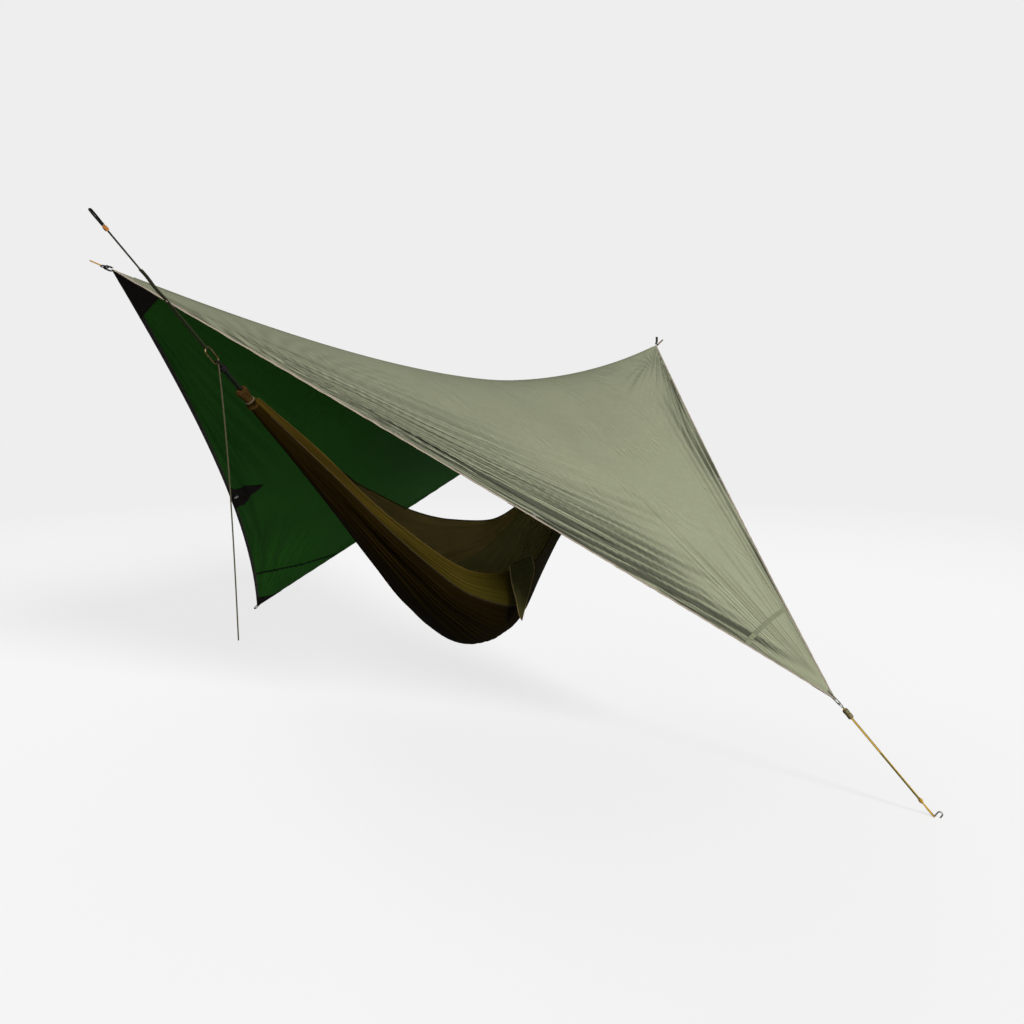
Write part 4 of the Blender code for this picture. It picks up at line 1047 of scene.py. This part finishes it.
# ---- corner fittings ------------------------------------------------------------------------------
LOOP_WIDTH = 0.012
LOOP_THICK = 0.0016
LOOP_OUT = {"left": 0.0145, "right": 0.0185, "front": 0.0185, "back": 0.0185}
LOOP_HALF_GAP = 0.0045
LOOP_SET_DOWN = 0.0008
LOOP_SEWN = {"left": 0.003, "right": 0.003, "front": 0.045, "back": 0.045}
HOOK_WIRE = 0.0016
HOOK_LAP = 0.0040
HOOK_RADIUS = 0.0095
TIE_CORD_R = 0.0018
RIGHT_CORD_R = 0.0050
RIGHT_CORD_LENGTH = 0.090
RIGHT_CORD_WAY = Vector((0.937, 0, 0.350)).normalized()
RING_WIRE = 0.0020
RING_RADIUS = 0.011
RING_AT = 0.0155
PEG_SPOT_OUT = 0.373
GUY_R = 0.0035
GUY_SPACING = 0.0074
KNOT_FROM_PEG = 0.085
KNOT_LENGTH = 0.024
EYE_CORD_R = 0.0024
EYE_START_HALF = 0.0028
PEG_R = 0.0028


def corner_frame(corner):
    """Tip, outward direction, up normal and width direction of a canopy corner."""
    if corner in END_SIGN:
        sign = END_SIGN[corner]
        tip = Vector(MIDDLE) + Vector((sign * HALF_RIDGE, 0, 0))
        outward = Vector((sign, 0, TIE_SLOPE)).normalized()
        width = Vector((0, 1, 0))
    else:
        before = Vector(canopy_base(corner, 0.99, 0.0))
        tip = Vector(canopy_base(corner, 1.0, 0.0))
        outward = (tip - before).normalized()
        width = Vector((1, 0, 0))
    up = outward.cross(width)
    if up.z < 0:
        up = -up
    return tip, outward, up, width


def u_path(start, out, up, low, high, run, back):
    radius = (high - low) / 2
    middle = (high + low) / 2
    path = [start - out * back + up * low, start + up * low, start + out * run + up * low]
    for k in range(1, 16):
        angle = -math.pi / 2 + math.pi * k / 16
        path.append(start + out * (run + radius * math.cos(angle)) + up * (middle + radius * math.sin(angle)))
    path += [start + out * run + up * high, start + up * high, start - out * back + up * high]
    return path


def bar_tack(name, centre, along, across, up, length, width, body, slot, finish):
    """A dense zigzag of thread that sews webbing down."""
    turns = 9
    points = [centre + along * (k / (turns * 2) - 0.5) * length
              + across * (0.5 if k % 2 else -0.5) * width + up * 0.0002 for k in range(turns * 2 + 1)]
    tack = tube(name, fine_path(points, 0.0012), 0.00035, [finish], sides=6)
    attach(tack, body, slot)


def make_corner_loops(mats):
    for corner in ("left", "right", "front", "back"):
        tip, outward, up, width = corner_frame(corner)
        low = -LOOP_HALF_GAP - LOOP_SET_DOWN
        high = LOOP_HALF_GAP - LOOP_SET_DOWN
        path = u_path(tip, outward, up, low, high, LOOP_OUT[corner], LOOP_SEWN[corner])
        finish = mats[{"right": "tab", "front": "pale_webbing"}.get(corner, "webbing")]
        loop = ribbon(f"webbing_loop_{corner}", path, width, LOOP_WIDTH, LOOP_THICK, finish)
        attach(loop, "root", "corner_webbing", f"corner_loop_{corner}")
        for face, height, way in (("top", high, 1), ("under", low, -1)):
            spot = tip + outward * 0.004 + up * (height + way * LOOP_THICK / 2)
            if corner in SIDE_SIGN:
                spot = spot - outward * 0.030
            bar_tack(f"tack_{corner}_{face}", spot, outward, width, up * way, 0.006, 0.009, "root",
                     "corner_webbing", mats["thread"])


def make_tag(mats):
    """The free end of the right corner's webbing, which stands up from the corner."""
    tip, outward, up, width = corner_frame("right")
    foot = tip + outward * 0.002 + up * (LOOP_HALF_GAP + LOOP_THICK / 2)
    path = [foot + Vector((-0.012 * (1 - k / 20)**3 + 0.004 * math.sin(k / 6), 0, 0.046 * (k / 20)**1.15))
            for k in range(21)]
    tag = ribbon("corner_tag", path, width, 0.015, 0.0016, mats["tab"], 10)
    attach(tag, "root", "corner_webbing")


def make_free_cords(mats):
    """Every declared cord, on the same route as its CAD solid."""
    tip, outward, up, width = corner_frame("left")
    centre = tip + outward * (LOOP_OUT["left"] - HOOK_LAP + HOOK_RADIUS) - up * LOOP_SET_DOWN
    start = centre + outward * (HOOK_RADIUS + HOOK_WIRE + GAP)
    path = [start.lerp(Vector((0, 0, 0)), k / 40) for k in range(41)]
    cord = tube("left_tie", path, TIE_CORD_R, [mats["yellow"]], 14, lobes=6, depth=0.10, pitch=0.014)
    declare(cord, "left_tie_cord", "tie_cord_yellow", "root")

    tip, outward, up, width = corner_frame("right")
    reach = LOOP_OUT["right"] + LOOP_HALF_GAP + LOOP_THICK / 2 + RIGHT_CORD_R + GAP
    start = tip + outward * reach - up * LOOP_SET_DOWN
    path = [start + RIGHT_CORD_WAY * RIGHT_CORD_LENGTH * k / 60 for k in range(61)]
    cord = tube("right_tie", path, RIGHT_CORD_R, [mats["tan"], mats["webbing"]], 16, lobes=6, depth=0.10,
                across=(0, 1, 0), slots=2)
    declare(cord, "right_tie_cord", "tie_cord_tan", "root")

    tip, outward, up, width = corner_frame("front")
    centre = tip + outward * (RING_AT + RING_RADIUS) - up * LOOP_SET_DOWN
    peg = Vector((tip.x, tip.y - PEG_SPOT_OUT, FLOOR))
    direction = (peg - centre).normalized()
    start = centre + direction * (RING_RADIUS + RING_WIRE + 0.0012)
    knot_at = peg - direction * KNOT_FROM_PEG
    for letter, sign, pair, slot in (("a", -1, ("gold", "olive"), "guy_cord_gold"),
                                     ("b", 1, ("olive", "gold"), "guy_cord_olive")):
        off = width * sign * GUY_SPACING / 2
        path = [start.lerp(knot_at, k / 260) + off for k in range(261)]
        cord = tube(f"guy_strand_{letter}", path, GUY_R, [mats[k] for k in pair], 16, lobes=3, depth=0.12,
                    pitch=0.024, switch=0.5)
        declare(cord, f"guy_line_{letter}", slot, "root")
    make_guy_knot(knot_at, direction, width, mats)
    make_peg_eye(knot_at, direction, peg, width, mats)

    anchor, direction, up, length = suspension_frame("left")
    low = length - GATHER_GAP - GATHER_LENGTH - ROPE_LENGTH
    start = anchor + direction * (low + WIRE)
    points = []
    for drop in TAIL_DROPS:
        lean = TAIL_LEAN * (1 - math.exp(-drop / TAIL_STRAIGHTENS))
        points.append(start + ALONG * lean - Vector((0, 0, drop)))
    path = fine_path(points, 0.004)
    cord = tube("tail_line", path, TAIL_R, [mats["tail"]], 12, lobes=3, depth=0.18, pitch=0.012)
    declare(cord, "hanging_tail_cord", "tail_cord", "hammock")


def declare(cord, node, slot, body):
    attach(cord, body, slot, node)


def make_guy_knot(start, direction, width, mats):
    """Overlapping turns of cord where the doubled line becomes one eye."""
    path = winding(start + direction * 0.003, direction, width, direction.cross(width), 4, 16, 0.018,
                   lambda share, angle: [0.0052 * (0.75 + 0.35 * math.sin(math.pi * share))] * 2)
    wrap = tube("knot_turns", path, 0.0026, [mats["gold"]], 10, lobes=3, depth=0.15, pitch=0.012)
    core = [start + direction * (0.001 + 0.022 * k / 12) for k in range(13)]
    middle = tube("knot_core", core, 0.0040, [mats["olive"]], 10, lobes=3, depth=0.2, pitch=0.02)
    for piece in (wrap, middle):
        attach(piece, "root", "guy_cord_gold")
    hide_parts("guy_knot")


def make_peg_eye(knot_at, direction, peg, width, mats):
    wrap = PEG_R + EYE_CORD_R + 2 * GAP
    run = (peg - knot_at).length - KNOT_LENGTH - GAP
    first = knot_at + direction * (KNOT_LENGTH + GAP)
    path = []
    for share in (0, 0.1, 0.25, 0.45, 0.7, 0.9):
        spread = EYE_START_HALF + (wrap - EYE_START_HALF) * min(1, share * 2)
        path.append(first + direction * run * share - width * spread)
    turnback = []
    for k in range(9):
        angle = math.pi * k / 8
        turnback.append(peg + direction * wrap * math.sin(angle) - width * wrap * math.cos(angle))
    mirrored = [p + width * 2 * ((peg - p).dot(width)) for p in reversed(path)]
    path = fine_path(path + turnback + mirrored, 0.0018)
    eye = tube("peg_eye", path, EYE_CORD_R, [mats["gold"]], 12, lobes=3, depth=0.16, pitch=0.014)
    declare(eye, "peg_loop", "guy_cord_gold", "root")


# ---- hammock --------------------------------------------------------------------------------------
def hammock_point(s, across, height):
    return Vector((HANG_LEFT.x, HANG_LEFT.y, LEFT_TIP.z + height)) + ALONG * s + ACROSS * across


def suspension_frame(end):
    anchor = HANG_LEFT if end == "left" else HANG_RIGHT
    s, z = (KEEL[0][0], (KEEL[0][1] + NEAR_LIP[0][1]) / 2)
    if end == "right":
        s, z = (KEEL[-1][0], (KEEL[-1][1] + NEAR_LIP[-1][1]) / 2)
    line = hammock_point(s, 0, z) - anchor
    direction = line.normalized()
    up = direction.cross(ACROSS)
    if up.z < 0:
        up = -up
    return anchor, direction, up, line.length


HULL_ROWS = 196
HULL_COLUMNS = 220
NECK_ROWS = 10
NECK_LENGTH = GATHER_GAP + GATHER_LENGTH - WHIPPING_AT
PLEATS = 19                            # half the number of pleats across the cloth


def neck(end, edge, share):
    """Rows of cloth that close the open end of the hammock into the ring under the whipping."""
    anchor, direction, up, length = suspension_frame(end)
    rows, middles = [], []
    for k in range(1, NECK_ROWS + 1):
        t = k / NECK_ROWS
        middle = np.array(anchor + direction * (length - NECK_LENGTH * t))
        angle = share * math.pi * (0.5 + 0.49 * ramp(0, 1, t))
        radius = 0.0185 - 0.0058 * t + 0.0012 * np.cos(2 * math.pi * PLEATS * share)
        ring = middle + radius[:, None] * (np.sin(angle)[:, None] * np.array(ACROSS)
                                           - np.cos(angle)[:, None] * np.array(up))
        moved = edge - np.array(direction) * NECK_LENGTH * t
        part = ramp(0, 0.7, t)
        rows.append(moved * (1 - part) + ring * part)
        middles.append(middle)
    return np.array(rows), np.array(middles)


def hull_grid():
    """Points, outward normals and (u, v) of the hammock cloth, pleated towards both ends."""
    first, last = KEEL[0][0], KEEL[-1][0]
    s = np.linspace(first, last, HULL_ROWS + 1)
    half, keel, near, far = (np.array([smooth(t, a) for a in s])[:, None]
                             for t in (HALF_WIDTH, KEEL, NEAR_LIP, FAR_LIP))
    share = np.linspace(-1, 1, HULL_COLUMNS + 1)[None, :]
    lip = np.where(share > 0, far, near)
    across = half * np.sin(share * math.pi / 2) + BELLY_SHIFT * np.minimum(1, half / 0.1)
    z = keel + (lip - keel) * (1 - np.cos(share * math.pi / 2))
    base = (np.array(hammock_point(0, 0, 0)) + np.array(ALONG) * s[:, None, None]
            + np.array(ACROSS) * across[..., None] + np.array((0, 0, 1)) * z[..., None])
    middles = (np.array(hammock_point(0, 0, 0)) + np.array(ALONG) * s[:, None]
               + np.array((0, 0, 1)) * (near + far) / 2)
    out = unit(base - middles[:, None, :])
    normal = unit(np.cross(np.gradient(base, axis=0), np.gradient(base, axis=1)))
    normal *= np.where((np.sum(normal * out, -1) < 0)[..., None], -1, 1)
    to_end = np.minimum(s - first, last - s)[:, None]
    turn = 2 * math.pi * PLEATS * share
    turn = turn + 6.5 * noise(share * 4 + 7, s[:, None] / 0.7, 211) * ramp(0, 0.3, to_end)
    pleats = np.cos(turn) + 0.9 * noise(share * 27 + 11, s[:, None] / 0.8, 213) * ramp(0, 0.25, to_end)
    strength = 0.50 + 0.65 * noise(share * 8 + 3, s[:, None] / 0.45, 215) * ramp(0.05, 0.4, to_end)
    size = (0.0014 + 0.0072 * np.exp(-to_end / 0.50)) * ramp(-0.06, 0.12, to_end)
    girth = np.linalg.norm(np.diff(base, axis=1), axis=-1).sum(1)[:, None]
    size = np.minimum(size, 0.26 * girth / (2 * PLEATS))
    broad = 0.010 * noise(share * 6 + 3, s[:, None] / 0.9, 217) * ramp(0.15, 0.6, to_end)
    slack = 0.010 * noise(share * 5 + 3, s[:, None] / 0.22, 219) * ramp(0.55, 0.95, np.abs(share))
    height = pleats * size * strength + broad + slack * ramp(0.1, 0.5, to_end)
    points = base + normal * height[..., None]
    ends = [neck("left", points[0], share[0]), neck("right", points[-1], share[0])]
    points = np.concatenate([ends[0][0][::-1], points, ends[1][0]])
    middles = np.concatenate([ends[0][1][::-1], middles, ends[1][1]])
    tail = (last - first) / HULL_ROWS * np.arange(1, NECK_ROWS + 1)
    s = np.concatenate([first - tail[::-1], s, last + tail])
    uvs = np.stack(np.broadcast_arrays(s[:, None], share * 0.60), -1)
    radial = points - middles[:, None, :]
    way = np.concatenate([radial[:NECK_ROWS], normal, radial[-NECK_ROWS:]])
    fine = unit(np.cross(np.gradient(points, axis=0), np.gradient(points, axis=1)))
    fine *= np.where((np.sum(fine * way, -1) < 0)[..., None], -1, 1)
    return points, fine, uvs, share


def make_hammock(mats):
    points, normals, uvs, share = hull_grid()
    middle = np.abs((share[:, 1:] + share[:, :-1]) / 2) * np.ones((len(points) - 1, 1))
    slots = np.where(middle > SIDE_BAND, 1, 0)
    mats_list = [mats["body"], mats["body_in"], mats["band"], mats["band_in"]]
    hull = two_skins("hammock_cloth", points, normals, 0.0009, mats_list, uvs, slots=slots)
    attach(hull, "hammock", "hammock_body", "hammock_near_panel", "hammock_centre_panel", "hammock_far_panel")
    for name, column in (("near", 0), ("far", -1)):
        path = points[:, column]
        thick = 0.0014 + 0.0028 * ramp(0, 3 * NECK_ROWS, np.minimum(np.arange(len(path)),
                                                                     len(path) - 1 - np.arange(len(path))))
        lip = tube(f"hammock_{name}_lip", path, thick, [mats["lip"]], 12, lobes=5, depth=0.12, pitch=0.05,
                   flat=0.6)
        attach(lip, "hammock", "hammock_band")
    for name, where in (("near", -SIDE_BAND), ("far", SIDE_BAND)):
        column = int(round((where + 1) / 2 * HULL_COLUMNS))
        for step, tag in ((-1, "lower"), (1, "upper")):
            rows = slice(NECK_ROWS + 3, -NECK_ROWS - 3)
            path = points[rows, column + step] + normals[rows, column + step] * 0.0007
            seam = tube(f"hammock_{name}_seam_{tag}", path, 0.0006, [mats["thread_brown"]], 6, lobes=2,
                        depth=0.4, pitch=0.006)
            attach(seam, "hammock", "hammock_band")
    return hull


def make_gather(end, mats):
    """The bunched end of the cloth, its tufted mouth and the twine wound round it."""
    anchor, direction, _, length = suspension_frame(end)
    start = length - GATHER_GAP - GATHER_LENGTH
    rows, columns = 56, 120
    z = np.linspace(0, GATHER_LENGTH + 0.004, rows)
    profile = np.interp(z, [0, 0.006, 0.016, 0.032, 0.045, 0.052, 0.070],
                        [0.0100, 0.0165, 0.0160, 0.0125, 0.0118, 0.0125, 0.0190])
    angle = np.linspace(0, 2 * math.pi, columns + 1)
    seed = 231 if end == "left" else 233
    wrapped = np.minimum(angle, 2 * math.pi - angle)
    fluting = 0.6 * np.cos(17 * angle)[None, :] + 0.7 * noise(wrapped[None, :] * 5, z[:, None] / 0.03, seed)
    depth = np.interp(z, [0, 0.01, 0.045, 0.052, 0.07], [0.0030, 0.0034, 0.0010, 0.0012, 0.0022])
    reach = profile[:, None] + depth[:, None] * fluting
    turn = np.array(direction.to_track_quat("Z", "Y").to_matrix())
    spoke = np.cos(angle)[:, None] * turn[:, 0] + np.sin(angle)[:, None] * turn[:, 1]
    foot = np.array(anchor + direction * start)
    points = foot + np.array(direction) * z[:, None, None] + spoke[None] * reach[..., None]
    uvs = np.stack(np.broadcast_arrays(z[:, None], angle[None, :] * 0.015), -1)
    faces = ring_faces(rows, columns) + cap_faces(rows, columns)
    ends = [foot + np.array(direction) * at for at in (0.010, GATHER_LENGTH - 0.004)]
    verts = np.concatenate([points[:, :-1].reshape(-1, 3), ends])
    flat = np.concatenate([uvs[:, :-1].reshape(-1, 2), [(0, 0), (0.07, 0)]])
    gather = mesh_object(f"{end}_bunched_cloth", verts, faces, [mats["gather"]], None, flat)
    attach(gather, "hammock", "hammock_body", f"{end}_gather")

    path = winding(anchor + direction * (start + WHIPPING_AT - 0.0015), direction, Vector(turn[:, 0]),
                   Vector(turn[:, 1]), 4, 28, 4 * 0.0021,
                   lambda share, angle: [0.0138 + 0.0004 * math.sin(3 * angle)] * 2)
    twine = tube(f"{end}_twine", path, 0.0008, [mats["thread_light"]], 8, lobes=2, depth=0.3, pitch=0.006)
    attach(twine, "hammock", "whipping_cord", f"{end}_whipping")


def rope_u(start, direction, half, run):
    """Two legs that run out along a direction and turn back round a bar."""
    path = [start - ACROSS * half + direction * run * k / 16 for k in range(16)]
    for k in range(17):
        angle = math.pi * k / 16
        path.append(start + direction * (run + half * math.sin(angle)) - ACROSS * half * math.cos(angle))
    path += [start + ACROSS * half + direction * run * (1 - k / 16) for k in range(1, 17)]
    return path


def make_suspension(end, mats):
    anchor, direction, up, length = suspension_frame(end)
    start = length - GATHER_GAP - GATHER_LENGTH
    low = start - ROPE_LENGTH
    half = WIRE + ROPE_R + GAP
    path = fine_path(rope_u(anchor + direction * (start - GAP), -direction, half, ROPE_LENGTH - GAP), 0.002)
    rope = tube(f"{end}_rope", path, ROPE_R, [mats["rope"]], 14, lobes=4, depth=0.16, pitch=0.020)
    attach(rope, "hammock", "hammock_rope", f"{end}_hammock_rope")
    make_rope_hitch(end, anchor + direction * (low + 0.024), direction, up, mats)

    high = low - 2 * (CARABINER_HALF + CARABINER_BEND)
    half = WIRE + LEG_R + GAP
    stops = LEFT_STOPS if end == "left" else RIGHT_STOPS
    legs_from = (stops["sleeve"] if end == "left" else stops["adjuster"]) + GAP
    path = fine_path(rope_u(anchor + direction * legs_from, direction, half, high - legs_from), 0.003)
    legs = tube(f"{end}_legs", path, LEG_R, [mats["dark_cord"]], 12, lobes=3, depth=0.18, pitch=0.014)
    attach(legs, "hammock", "suspension_cord", f"{end}_suspension_loop")

    if end == "left":
        a, b = stops["cord"] + GAP, stops["sleeve"]
        path = [anchor + direction * (a + (b - a) * k / 40) + up * 0.0012 * math.sin(2.5 * math.pi * k / 40)
                for k in range(41)]
        sleeve = ribbon("flat_webbing", path, ACROSS, 0.013, 0.0032, mats["sleeve"], 14)
        attach(sleeve, "hammock", "suspension_webbing", "left_webbing_sleeve")
        for k, at in enumerate((a + 0.008, b - 0.008)):
            bar_tack(f"sleeve_tack_{k}", anchor + direction * at + up * 0.0022, direction, ACROSS, up, 0.008,
                     0.010, "hammock", "suspension_webbing", mats["thread_light"])
        a, b = stops["adjuster"] + GAP, stops["cord"]
        path = [anchor + direction * (a + (b - a) * k / 60) for k in range(61)]
        single = tube("single_cord", path, 0.0025, [mats["dark_cord"]], 12, lobes=3, depth=0.18, pitch=0.014)
        attach(single, "hammock", "suspension_cord", "left_suspension_cord")

    a, b = stops["strap"] + GAP, stops["adjuster"]
    path = winding(anchor + direction * (a + 0.003), direction, up, ACROSS, 4, 18, b - a - 0.006,
                   lambda share, angle: [0.0034 + 0.0006 * math.sin(math.pi * share)] * 2)
    knot = tube(f"{end}_adjuster_turns", path, 0.0019, [mats["orange"]], 10, lobes=3, depth=0.15, pitch=0.012)
    attach(knot, "hammock", "adjuster_cord", f"{end}_adjuster")

    run = stops["strap"] - 0.006
    path = u_path(anchor + direction * stops["strap"], -direction, up, -0.0022, 0.0022, run, 0)[1:-1]
    dense = [Vector(p) for p in fine_path(path, 0.0016)]
    strap = ribbon(f"{end}_strap_webbing", dense, ACROSS, 0.007, LOOP_THICK, mats["strap"], 10)
    attach(strap, "hammock", "tree_strap", f"{end}_tree_strap")


def make_rope_hitch(end, centre, direction, up, mats):
    """Turns of the rope round itself beside the carabiner."""
    path = winding(centre - direction * 0.008, direction, up, ACROSS, 3, 20, 0.016,
                   lambda share, angle: (0.0068, 0.0112))
    hitch = tube(f"{end}_rope_hitch", path, 0.0027, [mats["rope"]], 12, lobes=4, depth=0.16, pitch=0.018)
    attach(hitch, "hammock", "hammock_rope")


def make_pouch(mats):
    """A pleated bag that hangs outside the near lip and is drawn to a tip."""
    top = -0.985
    left = [(1.630, top), (1.645, top - 0.06), (1.690, top - 0.15), (1.725, top - 0.225), (1.745, top - 0.245)]
    right = [(1.84, top + 0.005), (1.865, top - 0.05), (1.83, top - 0.12), (1.775, top - 0.20),
             (1.745, top - 0.245)]
    rows, columns = 60, 48
    share = np.linspace(0, 1, rows + 1)
    lines = []
    for side in (left, right):
        path = fine_path([(s, z, 0) for s, z in side], 0.002)
        gone = np.linspace(0, 1, len(path))
        lines.append(np.stack([np.interp(share, gone, path[:, k]) for k in range(2)], -1))
    width = np.linspace(0, 1, columns + 1)
    flat = lines[0][:, None, :] * (1 - width)[None, :, None] + lines[1][:, None, :] * width[None, :, None]
    depth = -(smooth(HALF_WIDTH, 1.78) + 0.016) + BELLY_SHIFT
    wrinkles = noise(width[None, :] * 9, share[:, None] * 2, 241)
    wrinkles = wrinkles + 0.4 * noise(width[None, :] * 21, share[:, None] * 3, 243)
    wrinkles = wrinkles - 0.4 * np.abs(wrinkles)
    bulge = 0.006 * np.sin(math.pi * width)[None, :] * np.sin(math.pi * share * 0.9)[:, None]
    fade = np.sin(math.pi * width)[None, :] ** 0.5 * (1 - 0.6 * share[:, None])
    out = bulge + 0.005 * wrinkles * fade
    origin = np.array(hammock_point(0, 0, 0))

    def at(way):
        across = depth - way * out - 0.001 * way
        return (origin + np.array(ALONG) * flat[..., :1] + np.array(ACROSS) * across[..., None]
                + np.array((0, 0, 1)) * flat[..., 1:])

    front, back = at(1), at(-0.55)
    count = (rows + 1) * (columns + 1)
    quads = grid_faces(rows + 1, columns + 1)
    faces = np.concatenate([quads, quads[:, ::-1] + count, rim_walls(quads, count)[0]])
    uv = np.concatenate([flat.reshape(-1, 2)] * 2)
    verts = np.concatenate([front.reshape(-1, 3), back.reshape(-1, 3)])
    a, b, c = (verts[faces[0][k]] for k in range(3))
    if np.dot(np.cross(b - a, c - b), np.array(ACROSS)) > 0:
        faces = faces[:, ::-1]
    pouch = mesh_object("draped_pouch", verts, faces.tolist(), [mats["pouch"]], None, uv)
    attach(pouch, "pouch", "pouch_cloth", "stuff_pouch")
    edge = np.concatenate([at(1)[:, 0], at(1)[::-1, -1]])
    piping = tube("pouch_piping", edge, 0.0022, [mats["piping"]], 8, lobes=3, depth=0.1, pitch=0.01)
    attach(piping, "pouch", "pouch_cloth")


# ---- carried-over hardware ------------------------------------------------------------------------
def finish_hardware(mats):
    for node, finish in (("left_tie_hook", "black"), ("front_ring", "steel"), ("ground_peg", "steel"),
                         ("line_tensioner", "tensioner")):
        repaint(node, mats[finish])
    for side, end in HEM_BOW:
        repaint(f"eyelet_{side}_{end}", mats["eyelet"])
    for end in END_SIGN:
        for part in ("carabiner", "carabiner_gate", "gate_pin"):
            repaint(f"{end}_{part}", mats["alloy"])


def repaint(node, finish):
    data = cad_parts[node].data
    data.materials.clear()
    data.materials.append(finish)


# ---- stage ----------------------------------------------------------------------------------------
SKY_STRENGTH = 0.22
SUNS = (                                    # name, strength, how wide in degrees, the way its light travels
    ("key", 3.15, 12, (0.34, 0.90, -0.29)),
    ("fill", 0.55, 30, (0.87, 0.48, -0.15)),
    ("rim", 0.45, 30, (-0.30, -0.80, -0.50)),
)
CAMERA_AT = (-1.567955, -2.073, -0.337406)
CAMERA_LENS = 32.28
CAMERA_HEADING = 61.23                      # degrees from +Y towards +X
CAMERA_TILT = 7.22                          # degrees down
FLOOR_RADIUS = 11.0
FLOOR_GLOW = 0.800


def make_camera():
    data = bpy.data.cameras.new("camera")
    data.lens = CAMERA_LENS
    data.sensor_width = 36
    data.clip_end = 200
    camera = add_object("camera", data)
    azimuth, tilt = math.radians(CAMERA_HEADING), math.radians(CAMERA_TILT)
    way = Vector((math.sin(azimuth) * math.cos(tilt), math.cos(azimuth) * math.cos(tilt), -math.sin(tilt)))
    camera.location = CAMERA_AT
    camera.rotation_mode = "QUATERNION"
    camera.rotation_quaternion = way.to_track_quat("-Z", "Y")
    bpy.context.scene.camera = camera


def make_floor():
    """A pale round floor that fades out before its rim."""
    rings, spokes = 24, 96
    verts = [(0, 0, 0)]
    for i in range(1, rings + 1):
        radius = FLOOR_RADIUS * i / rings
        verts += [(radius * math.cos(2 * math.pi * k / spokes), radius * math.sin(2 * math.pi * k / spokes), 0)
                  for k in range(spokes)]
    faces = [(0, 1 + k, 1 + (k + 1) % spokes) for k in range(spokes)]
    for i in range(rings - 1):
        a, b = 1 + i * spokes, 1 + (i + 1) * spokes
        faces += [(a + k, b + k, b + (k + 1) % spokes, a + (k + 1) % spokes) for k in range(spokes)]
    m = Nodes("floor")
    gradient = m.add("ShaderNodeTexGradient", gradient_type="SPHERICAL")
    mapping = m.add("ShaderNodeMapping")
    mapping.inputs["Scale"].default_value = [1 / FLOOR_RADIUS] * 3
    m.link(m.coordinates(), mapping.inputs["Vector"])
    m.link(mapping.outputs["Vector"], gradient.inputs["Vector"])
    seen = m.ramp(gradient.outputs["Fac"], [(0.05, (0, 0, 0)), (0.55, (1, 1, 1))])
    m.link(seen, m.shader.inputs["Alpha"])
    path = m.add("ShaderNodeLightPath").outputs["Is Camera Ray"]
    m.finish(m.mix(path, (0.30, 0.30, 0.30), (0.42, 0.42, 0.42)), 0.9, specular=0.0)
    m.shader.inputs["Emission Color"].default_value = (*PALE, 1)
    m.link(m.math("MULTIPLY", path, FLOOR_GLOW), m.shader.inputs["Emission Strength"])
    data = bpy.data.meshes.new("floor")
    data.from_pydata(verts, [], faces)
    data.materials.append(m.material)
    floor = add_object("floor", data)
    floor.location = (2.1, 0, FLOOR)


def make_light():
    """A pale backdrop, faint light from the sky, and three soft suns."""
    world = bpy.data.worlds.new("studio")
    bpy.context.scene.world = world
    world.use_nodes = True
    tree = world.node_tree
    back = tree.nodes["Background"]
    back.inputs["Color"].default_value = (*PALE, 1)
    sky = tree.nodes.new("ShaderNodeBackground")
    sky.inputs["Strength"].default_value = SKY_STRENGTH
    path = tree.nodes.new("ShaderNodeLightPath")
    mix = tree.nodes.new("ShaderNodeMixShader")
    tree.links.new(path.outputs["Is Camera Ray"], mix.inputs[0])
    tree.links.new(sky.outputs[0], mix.inputs[1])
    tree.links.new(back.outputs[0], mix.inputs[2])
    tree.links.new(mix.outputs[0], tree.nodes["World Output"].inputs[0])
    for name, energy, spread, way in SUNS:
        data = bpy.data.lights.new(name, "SUN")
        data.energy = energy
        data.angle = math.radians(spread)
        lamp = add_object(name, data)
        lamp.rotation_mode = "QUATERNION"
        lamp.rotation_quaternion = Vector(way).to_track_quat("-Z", "Y")
    bpy.context.scene.view_settings.view_transform = "Standard"


def main():
    mats = make_materials()
    make_camera()
    make_free_cords(mats)
    canopy = make_canopy(mats)
    make_hems(mats)
    make_patches(mats)
    make_seams(mats)
    make_corner_loops(mats)
    make_tag(mats)
    hull = make_hammock(mats)
    for end in END_SIGN:
        make_gather(end, mats)
        make_suspension(end, mats)
    make_pouch(mats)
    finish_hardware(mats)
    make_floor()
    make_light()


main()
